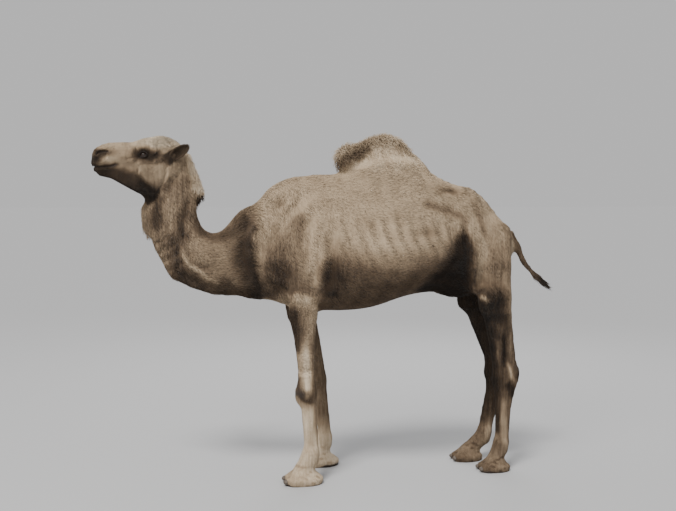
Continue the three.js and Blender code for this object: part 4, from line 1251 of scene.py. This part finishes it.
def mesh_of(name, vertices, loops, sizes):
    """A mesh from arrays: places, the corners of all faces in a row, and the corners of each face."""
    mesh = bpy.data.meshes.new(name)
    mesh.vertices.add(vertices.size // 3)
    mesh.vertices.foreach_set("co", vertices.astype(np.float32).ravel())
    mesh.loops.add(loops.size)
    mesh.loops.foreach_set("vertex_index", loops.astype(np.int32).ravel())
    mesh.polygons.add(len(sizes))
    mesh.polygons.foreach_set("loop_start", np.concatenate([[0], np.cumsum(sizes)[:-1]]).astype(np.int32))
    mesh.update(calc_edges=True)
    shade_smooth(mesh)
    return mesh


def tuft_faces(bends):
    """The faces of one tuft: its root, a four-cornered band for each bend, and its tip."""
    triangles, quads = [(0, 2, 1)], []
    for ring in range(0, 3 * (bends - 1), 3):
        quads += [(ring + i, ring + (i + 1) % 3, ring + 3 + (i + 1) % 3, ring + 3 + i) for i in range(3)]
    last, tip = 3 * (bends - 1), 3 * bends
    triangles += [(last + i, last + (i + 1) % 3, tip) for i in range(3)]
    return quads, triangles


def tufts(name, roots, length, width, lift, bends=2, curl=0.0, turns=1.0, droop=0.55, stray=0.2, seed=1):
    """One mesh of many tufts. length, width and lift are numbers for each root, or one for all."""
    rng = np.random.default_rng(seed)
    place, facing = at_roots(points, roots), unit(at_roots(normals, roots))
    count = len(place)
    if bends == 1:
        droop = 0.0
    forward = at_roots(lie, roots)
    swerve = rng.normal(size=count) * stray + 0.3 * stray * ripple(place, 0.05, seed)
    forward += np.cross(facing, forward) * swerve[:, None]
    forward = unit(forward - facing * (forward * facing).sum(axis=1)[:, None])
    sideways = np.cross(facing, forward)
    length = length * rng.uniform(0.72, 1.22, count) * (1 + 0.15 * ripple(place, 0.07, seed + 1))
    lift = lift * rng.uniform(0.6, 1.35, count)
    width = width * rng.uniform(0.75, 1.2, count)
    phase = rng.uniform(0, 2 * math.pi, count)
    rings = []
    for step in range(bends + 1):
        u = step / bends
        rise = np.sin(lift) * (u - droop * u * u)
        swing = curl * np.sin(phase + turns * 2 * math.pi * u) * u
        roll = curl * (1 - np.cos(turns * 2 * math.pi * u + phase)) * 0.5 * u
        over_skin = facing * (length * (rise + roll) - SUNK * width)[:, None]
        centre = place + forward * (length * u * np.cos(lift))[:, None]
        centre += over_skin + sideways * (length * swing)[:, None]
        centre[:, 2] = np.maximum(centre[:, 2], 0.001)
        if step == bends:
            rings.append(centre[:, None])
        else:
            half = (width * 0.5 * (1 - u) ** 0.55)[:, None]
            ridge = facing * half * 0.8
            rings.append(np.stack([centre - sideways * half, centre + sideways * half, centre + ridge], 1))
    vertices = np.concatenate(rings, axis=1)
    per_tuft = vertices.shape[1]
    starts = (np.arange(count) * per_tuft)[:, None, None]
    kinds = [faces for faces in tuft_faces(bends) if faces]
    loops = np.concatenate([(np.array([faces]) + starts).reshape(count, -1) for faces in kinds], axis=1)
    sizes = np.tile([len(face) for faces in kinds for face in faces], count)
    mesh = mesh_of(name, vertices, loops, sizes)
    u = np.concatenate([np.repeat(np.arange(bends) / bends, 3), [1.0]])
    side = np.concatenate([np.tile([0.0, 1.0, 0.5], bends), [0.5]])
    tone = at_roots(shade, roots) + 0.07 * ripple(place, 0.09, 77) + 0.03 * ripple(place, 0.025, 78)
    store(mesh, "shade", np.repeat(tone, per_tuft))
    store(mesh, "strand", np.repeat(rng.random(count), per_tuft))
    store(mesh, "along", np.tile(u, count))
    store(mesh, "downward", np.repeat(np.abs(forward[:, 2]), per_tuft))
    spots = bake_map(place, facing)[:, None] + PATCH * (np.stack([side, u], 1)[None] - 0.5)
    unwrap = mesh.uv_layers.new(name="OFBake")
    unwrap.data.foreach_set("uv", spots.reshape(-1, 2)[loops.ravel()].astype(np.float32).ravel())
    return linked(name, mesh)


def triangle_count(piece):
    return sum(len(p.vertices) - 2 for p in piece.data.polygons)


print("a tuft with two bends has", sum(len(faces) for faces in tuft_faces(2)), "faces")


# %% [markdown]
# Each part of the body has hair of its own length, width and lift. The short summer coat of body and
# legs lies close. It is longest under the neck and on the hump, and shortest on the face,
# about the eyes and on the feet.

# %% Hair of each part
hair_length = np.full(len(points), 0.03)
hair_width = np.full(len(points), 0.0036)
hair_lift = np.full(len(points), math.radians(5.5))
x, y, z = points.T
on_limbs = soft_region("forearm", "gaskin", rounds=8)
on_shanks = soft_region("shank", rounds=8)
on_feet = soft_region("foot", rounds=6)
under_neck = under([(-1.1, 1.7), (-0.98, 1.45), (-0.88, 1.26), (-0.7, 1.2), (-0.45, 1.18)], 0.06)
up_the_hump = soft_region("hump", rounds=12) * smoothstep(HUMP_FOOT, HUMP_FOOT + 0.1, z)
hair_of_part = {  # length and width in metres, and lift in degrees
    "neck": (0.031, 0.0036, 8, on_neck),
    "under the neck": (0.038, 0.0038, 13, on_neck * under_neck),
    "shoulder": (0.028, 0.0034, 6, on_shoulder),
    "thigh": (0.026, 0.0033, 5.5, on_thigh),
    "hump": (0.034, 0.0036, 9, up_the_hump),
    "forearm and gaskin": (0.017, 0.0028, 8, on_limbs),
    "shank": (0.011, 0.0022, 8, on_shanks),
    "foot": (0.0075, 0.0018, 9, on_feet),
    "head": (0.0125, 0.0023, 8, on_head),
    "muzzle": (0.009, 0.002, 7, on_head * smoothstep(-1.1, -1.2, x)),
    "crown": (0.02, 0.0026, 15, on_head * spot(-0.985, 1.985, 0.07, 0.04, 0.01)),
    "lids": (0.0065, 0.0015, 7, on_head * bell(np.maximum(almond - 1, 0), 0, 1.2)),
    "throat": (0.026, 0.003, 20, on_head * smoothstep(1.72, 1.66, z)),
    "ears": (0.013, 0.0018, 13, is_ear.astype(float)),
    "tail": (0.02, 0.0026, 10, soft_region("tail_dock")),
}
for length, width, lift, mask in hair_of_part.values():
    for values, target in ((hair_length, length), (hair_width, width), (hair_lift, math.radians(lift))):
        values += np.clip(mask, 0, 1) * (target - values)
print("hair", round(hair_length.min(), 4), "to", round(hair_length.max(), 4), "long")

# %% Short coat
CREST_FOOT = [
    (-0.02, 1.8), (0.05, 1.826), (0.12, 1.86), (0.18, 1.903), (0.23, 1.95), (0.3, 1.968), (0.38, 1.962),
    (0.44, 1.935), (0.5, 1.88), (0.6, 1.79),
]
BODY_SPACING = 0.0069
MIDDLE_X = 0.33
haired = np.clip(1 - 1.3 * bare, 0, 1)
crest = smoothstep(-0.012, 0.02, z - np.interp(x, *zip(*CREST_FOOT)))
wool_zone = np.maximum(soft_region(*WOOL_PARTS[1:], rounds=2), soft_region("hump_wool", rounds=2) * crest)
short_coat = haired * (1 - smoothstep(0.4, 0.8, wool_zone))
body_zone = np.clip(1 - on_head - on_limbs - on_shanks - on_feet, 0, 1) > 0.5
head_zone = on_head >= 0.5
neck_zone = body_zone & (x < NECK_ROOT_X) & ~head_zone
trunk_zone = body_zone & ~neck_zone & ~head_zone
zones = {
    "neck_coat": (neck_zone, 0.0068, 2),
    "head_coat": (head_zone & ~is_ear, 0.0026, 1),
    "ear_coat": (is_ear, 0.003, 1),
}
for side in SIDES:
    half = trunk_zone & (y * side > 0)
    zones[f"{SIDE_NAMES[side]}_shoulder_coat"] = (half & (x < MIDDLE_X), BODY_SPACING, 2)
    zones[f"{SIDE_NAMES[side]}_rump_coat"] = (half & (x >= MIDDLE_X), BODY_SPACING, 2)
for name, leg in legs.items():
    zones[f"{name}_coat"] = (leg["own"] & ~body_zone, 0.0047, 1)
coat = {}
for number, (name, (zone, spacing, bends)) in enumerate(zones.items()):
    roots = planted(spacing, zone * short_coat, 100 + number)
    sizes = [at_roots(values, roots) for values in (hair_length, hair_width, hair_lift)]
    coat[name] = tufts(name, roots, *sizes, bends=bends, seed=200 + number)
    print(name, len(roots[0]), "tufts,", triangle_count(coat[name]), "triangles")

# %% [markdown]
# The hump's crest keeps the long curly wool of winter, the nape a pale ruff, the throat a hanging
# lock, and the tail ends in a tassel. These locks have four or five bends and a real curl.

# %% Wool, mane, fringe and tassel
fore_crest = crest * smoothstep(0.12, 0.02, x)
wool_length = 0.03 + 0.03 * crest + fore_crest * 0.02
wool_shape = dict(bends=5, turns=0.9, droop=0.75, stray=0.5)
mane_shape = dict(bends=5, turns=0.8, droop=0.7, stray=0.3)
fringe_shape = dict(bends=4, turns=0.6, droop=0.6, stray=0.12)
tassel_shape = dict(bends=4, turns=0.5, droop=0.6, stray=0.12)
long_hair = {  # its solid, the spacing, length and width in metres, the lift in degrees, and the curl
    "hump_wool_locks": (
        "hump_wool", 0.0066, wool_length, 0.0042, 16 + 32 * crest, 0.05 + 0.13 * crest, wool_shape
    ),
    "nape_locks": ("nape_mane", 0.0056, 0.044, 0.0036, 32, 0.1, mane_shape),
    "throat_locks": ("throat_fringe", 0.005, 0.05, 0.0032, 13, 0.05, fringe_shape),
    "tail_locks": ("tail_tuft", 0.0046, 0.058, 0.0029, 12, 0.04, tassel_shape),
}
for number, (name, (region, spacing, length, width, lift, curl, shape)) in enumerate(long_hair.items()):
    zone = smoothstep(0.25, 0.6, soft_region(region, rounds=2))
    if region == "hump_wool":
        zone *= crest
    roots = planted(spacing, zone, 300 + number)
    length, lift, curl = (at_roots(np.broadcast_to(v, len(points)), roots) for v in (length, lift, curl))
    coat[name] = tufts(name, roots, length, width, np.radians(lift), curl=curl, seed=400 + number, **shape)
    print(name, len(roots[0]), "tufts,", triangle_count(coat[name]), "triangles")
print("coat in all:", sum(triangle_count(piece) for piece in coat.values()), "triangles")

# %% [markdown]
# Two rows of long lashes keep the sand out. They are tufts too, rooted along the rim of the upper lid
# and curving out and down.

# %% Lashes
def lashes(side):
    rng = np.random.default_rng(7 + side)
    outward, ahead, up = eye_axes(side)
    bm = bmesh.new()
    for row in range(2):
        for angle in np.linspace(0.12 * math.pi, 0.9 * math.pi, 34):
            angle += rng.uniform(-0.03, 0.03)
            root = rim_point(side, angle, EYE_RADIUS + 0.001 + 0.0015 * row)
            way = (root - EYE[side]).normalized()
            length = (0.019 - 0.004 * row) * rng.uniform(0.8, 1.1)
            reach = (way + outward * 0.8 + ahead * rng.uniform(-0.15, 0.15)).normalized()
            cone = bmesh.ops.create_cone(bm, segments=4, radius1=0.0006, radius2=0.0001, depth=length)
            turn = reach.to_track_quat("Z", "Y").to_matrix().to_4x4()
            bmesh.ops.transform(bm, matrix=Matrix.Translation((0, 0, length / 2)), verts=cone["verts"])
            bmesh.ops.transform(bm, matrix=Matrix.Translation(root) @ turn, verts=cone["verts"])
            for vertex in cone["verts"]:
                gone = (vertex.co - root).length / length
                vertex.co -= up * (0.006 * gone * gone)
    return put_in_scene(bm, f"{SIDE_NAMES[side]}_lashes")


lash_pieces = {side: lashes(side) for side in SIDES}
print("lashes", [len(p.data.polygons) for p in lash_pieces.values()])

# %% [markdown]
# ## Materials
# Skin and tufts share one colour rule, a node group, so a mark runs through both: the painted tone,
# a little cloudiness, and a ramp from brown-black over sandy fawn to cream. The coat adds darker
# roots, bleached tips and small differences from tuft to tuft, and the skin between the tufts adds
# the relief of hair too short to model.

# %% Node helpers
def new_group(name, inputs, outputs):
    group = bpy.data.node_groups.new(name, "ShaderNodeTree")
    for socket, kind, value in inputs:
        item = group.interface.new_socket(socket, in_out="INPUT", socket_type=kind)
        if value is not None:
            item.default_value = value
    for socket, kind in outputs:
        group.interface.new_socket(socket, in_out="OUTPUT", socket_type=kind)
    return group, group.nodes.new("NodeGroupInput"), group.nodes.new("NodeGroupOutput")


def feed(tree, value, socket):
    """Links another node's output to a socket, or sets the socket to a plain value."""
    if hasattr(value, "is_output"):
        tree.links.new(value, socket)
    else:
        socket.default_value = value


def add_node(tree, kind, settings=None, **links):
    """A node with its settings made and its named inputs linked or set."""
    node = tree.nodes.new(kind)
    for key, value in (settings or {}).items():
        setattr(node, key, value)
    for key, value in links.items():
        feed(tree, value, node.inputs[key])
    return node


def math_node(tree, operation, a, b=0.0, clamp=False):
    node = add_node(tree, "ShaderNodeMath", {"operation": operation, "use_clamp": clamp})
    feed(tree, a, node.inputs[0])
    feed(tree, b, node.inputs[1])
    return node.outputs[0]


def sum_of_squares(tree, a, b):
    return math_node(tree, "ADD", math_node(tree, "MULTIPLY", a, a), math_node(tree, "MULTIPLY", b, b))


def mixed(tree, factor, a, b, blend="MIX"):
    node = add_node(tree, "ShaderNodeMix", {"data_type": "RGBA", "blend_type": blend}, Factor=factor)
    for value, socket in ((a, node.inputs[6]), (b, node.inputs[7])):
        feed(tree, value if hasattr(value, "is_output") else (*value, 1), socket)
    return node.outputs[2]


def noise(tree, scale, detail=3.0, roughness=0.5, stretch=(1, 1, 1)):
    place = tree.nodes.new("ShaderNodeTexCoord").outputs["Object"]
    mapping = add_node(tree, "ShaderNodeMapping", None, Vector=place, Scale=stretch)
    sizes = {"Scale": scale, "Detail": detail, "Roughness": roughness}
    return add_node(tree, "ShaderNodeTexNoise", None, Vector=mapping.outputs[0], **sizes).outputs["Fac"]


def attribute(tree, name):
    return add_node(tree, "ShaderNodeAttribute", {"attribute_name": name}).outputs["Fac"]


def ramp(tree, value, stops):
    node = add_node(tree, "ShaderNodeValToRGB", None, Fac=value)
    elements = node.color_ramp.elements
    while len(elements) < len(stops):
        elements.new(0.5)
    for element, (position, color) in zip(elements, stops):
        element.position = position
        element.color = (*color, 1)
    return node.outputs["Color"]


def add_bump(tree, shader, height, strength, depth):
    node = add_node(tree, "ShaderNodeBump", None, Height=height, Strength=strength, Distance=depth)
    tree.links.new(node.outputs[0], shader.inputs["Normal"])


def new_material(name):
    material = bpy.data.materials.new(name)
    material.use_nodes = True
    tree = material.node_tree
    return material, tree, tree.nodes["Principled BSDF"]


def use_group(tree, group, **links):
    return add_node(tree, "ShaderNodeGroup", {"node_tree": group}, **links).outputs[0]


print("node helpers ready")

# %% Shared rules
COAT_STOPS = [
    (0.0, (0.012, 0.0085, 0.006)),
    (0.2, (0.046, 0.031, 0.020)),
    (0.4, (0.135, 0.095, 0.062)),
    (0.6, (0.30, 0.225, 0.150)),
    (0.8, (0.48, 0.378, 0.264)),
    (1.0, (0.76, 0.65, 0.50)),
]
hair_color, inward, outward_socket = new_group(
    "hair_color",
    [
        ("Tone", "NodeSocketFloat", 0.5), ("Cloudiness", "NodeSocketFloat", 0.1),
        ("Downward", "NodeSocketFloat", 0.0),
    ],
    [("Color", "NodeSocketColor")],
)
broad_cloud = math_node(hair_color, "SUBTRACT", noise(hair_color, 5.0, 4.0, 0.6), 0.5)
fine_cloud = math_node(hair_color, "SUBTRACT", noise(hair_color, 34.0, 3.0, 0.6, (0.5, 1, 1)), 0.5)
cloud = math_node(hair_color, "ADD", broad_cloud, math_node(hair_color, "MULTIPLY", fine_cloud, 0.6))
cloud = math_node(hair_color, "MULTIPLY", cloud, inward.outputs["Cloudiness"])
streaks = math_node(hair_color, "SUBTRACT", noise(hair_color, 70.0, 3.0, 0.6, (1, 1, 0.1)), 0.5)
streaks = math_node(hair_color, "MULTIPLY", streaks, inward.outputs["Downward"])
streaks = math_node(hair_color, "MULTIPLY", streaks, 0.45)
cloud = math_node(hair_color, "ADD", cloud, streaks)
tone = math_node(hair_color, "ADD", inward.outputs["Tone"], cloud, clamp=True)
hair_color.links.new(ramp(hair_color, tone, COAT_STOPS), outward_socket.inputs["Color"])

hair_relief, inward, outward_socket = new_group(
    "hair_relief", [("Downward", "NodeSocketFloat", 0.5)], [("Height", "NodeSocketFloat")]
)
back_hair = noise(hair_relief, 260.0, 3.0, 0.6, (0.12, 1, 1))
down_hair = noise(hair_relief, 260.0, 3.0, 0.6, (1, 1, 0.12))
towards = math_node(hair_relief, "SUBTRACT", down_hair, back_hair)
towards = math_node(hair_relief, "MULTIPLY", towards, inward.outputs["Downward"])
relief = math_node(hair_relief, "ADD", back_hair, towards)
hair_relief.links.new(relief, outward_socket.inputs["Height"])
print("shared rules:", hair_color.name, "and", hair_relief.name)

# %% Skin
LEATHER = (0.05, 0.038, 0.031)
skin_material, tree, shader = new_material("camel_skin")
coat_color = use_group(
    tree, hair_color, Tone=attribute(tree, "shade"), Cloudiness=0.15, Downward=attribute(tree, "downward")
)
under_color = mixed(tree, 1.0, coat_color, (0.9, 0.885, 0.87), "MULTIPLY")
bare_mask = attribute(tree, "bare")
tree.links.new(mixed(tree, bare_mask, under_color, LEATHER), shader.inputs["Base Color"])
cracks = add_node(
    tree, "ShaderNodeTexVoronoi", {"feature": "DISTANCE_TO_EDGE"},
    Vector=tree.nodes.new("ShaderNodeTexCoord").outputs["Object"], Scale=190.0,
).outputs["Distance"]
cracked = math_node(tree, "MULTIPLY", math_node(tree, "MINIMUM", cracks, 0.12), 6.0)
hairs = use_group(tree, hair_relief, Downward=attribute(tree, "downward"))
leather_share = math_node(tree, "MULTIPLY", math_node(tree, "SUBTRACT", cracked, hairs), bare_mask)
add_bump(tree, shader, math_node(tree, "ADD", hairs, leather_share), 0.55, 0.0025)
rough = math_node(tree, "SUBTRACT", 0.92, math_node(tree, "MULTIPLY", bare_mask, 0.25))
tree.links.new(rough, shader.inputs["Roughness"])
shader.inputs["Specular IOR Level"].default_value = 0.14
skin.data.materials.append(skin_material)
print(skin_material.name, "with", len(skin_material.node_tree.nodes), "nodes")


# %% Hair
def hair_material(name, root_color, tip_color, cloudiness):
    material, tree, shader = new_material(name)
    strand = math_node(tree, "MULTIPLY", math_node(tree, "SUBTRACT", attribute(tree, "strand"), 0.5), 0.07)
    tone = math_node(tree, "ADD", attribute(tree, "shade"), strand)
    color = use_group(
        tree, hair_color, Tone=tone, Cloudiness=cloudiness, Downward=attribute(tree, "downward")
    )
    tint = mixed(tree, attribute(tree, "along"), root_color, tip_color)
    tree.links.new(mixed(tree, 1.0, color, tint, "MULTIPLY"), shader.inputs["Base Color"])
    fibres = noise(tree, 700.0, 2.0, 0.5, (0.3, 1, 1))
    add_bump(tree, shader, fibres, 0.3, 0.0008)
    rough = math_node(tree, "ADD", 0.7, math_node(tree, "MULTIPLY", fibres, 0.2))
    tree.links.new(rough, shader.inputs["Roughness"])
    shader.inputs["Specular IOR Level"].default_value = 0.14
    shader.inputs["Sheen Weight"].default_value = 0.08
    return material


short_hair = hair_material("short_hair", (0.93, 0.92, 0.91), (1.08, 1.07, 1.05), 0.12)
wool_hair = hair_material("wool", (0.68, 0.65, 0.62), (1.14, 1.12, 1.09), 0.18)
for name, piece in coat.items():
    piece.data.materials.append(wool_hair if name.endswith("_locks") else short_hair)
print("coat dressed in", short_hair.name, "and", wool_hair.name)

# %% Eyes, rims, lashes and nails
IRIS_STOPS = [  # from the middle of the eye to the far edge of its white
    (0.0, (0.016, 0.008, 0.005)), (0.46, (0.026, 0.012, 0.006)), (0.64, (0.012, 0.006, 0.004)),
    (0.72, (0.006, 0.004, 0.003)), (0.8, (0.05, 0.033, 0.026)), (1.0, (0.07, 0.048, 0.038)),
]
PUPIL_HALF = (0.3, 0.13)  # half its width and height, as shares of the eye's radius
eye_material, tree, shader = new_material("wet_eye")
across, rise = attribute(tree, "across"), attribute(tree, "rise")
iris = ramp(tree, math_node(tree, "SQRT", sum_of_squares(tree, across, rise)), IRIS_STOPS)
streaks = noise(tree, 900.0, 2.0, 0.5)
iris = mixed(tree, math_node(tree, "MULTIPLY", streaks, 0.35), iris, (0.02, 0.01, 0.006))
wide = math_node(tree, "DIVIDE", across, PUPIL_HALF[0])
tall = math_node(tree, "DIVIDE", rise, PUPIL_HALF[1])
pupil = math_node(tree, "LESS_THAN", sum_of_squares(tree, wide, tall), 1.0)
tree.links.new(mixed(tree, pupil, iris, (0.002, 0.002, 0.002)), shader.inputs["Base Color"])
WET = {"Roughness": 0.4, "Specular IOR Level": 0.1, "Coat Weight": 0.9, "Coat Roughness": 0.03, "IOR": 1.38}
for setting, value in WET.items():
    shader.inputs[setting].default_value = value


def plain_detail(name, dark, light, scale, roughness, depth, coat_weight=0.0):
    material, tree, shader = new_material(name)
    grain = noise(tree, scale, 4.0, 0.6, (1, 1, 0.35))
    tree.links.new(mixed(tree, grain, dark, light), shader.inputs["Base Color"])
    add_bump(tree, shader, grain, 0.5, depth)
    rough = math_node(tree, "ADD", roughness, math_node(tree, "MULTIPLY", grain, 0.2))
    tree.links.new(rough, shader.inputs["Roughness"])
    shader.inputs["Coat Weight"].default_value = coat_weight
    return material


rim_material = plain_detail(
    "wet_lid_rim", (0.004, 0.003, 0.003), (0.016, 0.011, 0.009), 500.0, 0.5, 0.0003, 0.05
)
lash_material = plain_detail("lashes", (0.004, 0.003, 0.003), (0.015, 0.011, 0.009), 800.0, 0.5, 0.0001)
nail_material = plain_detail("worn_horn", (0.03, 0.023, 0.018), (0.16, 0.125, 0.095), 120.0, 0.42, 0.0008)
for side in SIDES:
    eyeballs[side].data.materials.append(eye_material)
    rims[side].data.materials.append(rim_material)
    lash_pieces[side].data.materials.append(lash_material)
for nail in nails.values():
    nail.data.materials.append(nail_material)
print(len(bpy.data.materials), "materials")

# %% [markdown]
# Every piece is tied to the frame: the skin stands for all the solids of flesh, an eyeball for its
# solid, a nail for its own, and each rides on the animal's one body.

# %% Tie to the frame
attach(skin, "root")
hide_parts(*FLESH, *EARS)
for side in SIDES:
    for piece in (eyeballs[side], rims[side], lash_pieces[side]):
        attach(piece, "root")
    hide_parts(f"{SIDE_NAMES[side]}_eye")
for name, nail in nails.items():
    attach(nail, "root")
    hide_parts(name)
for piece in coat.values():
    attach(piece, "root")
print("tied:", 1 + 3 * len(SIDES) + len(nails) + len(coat), "pieces")
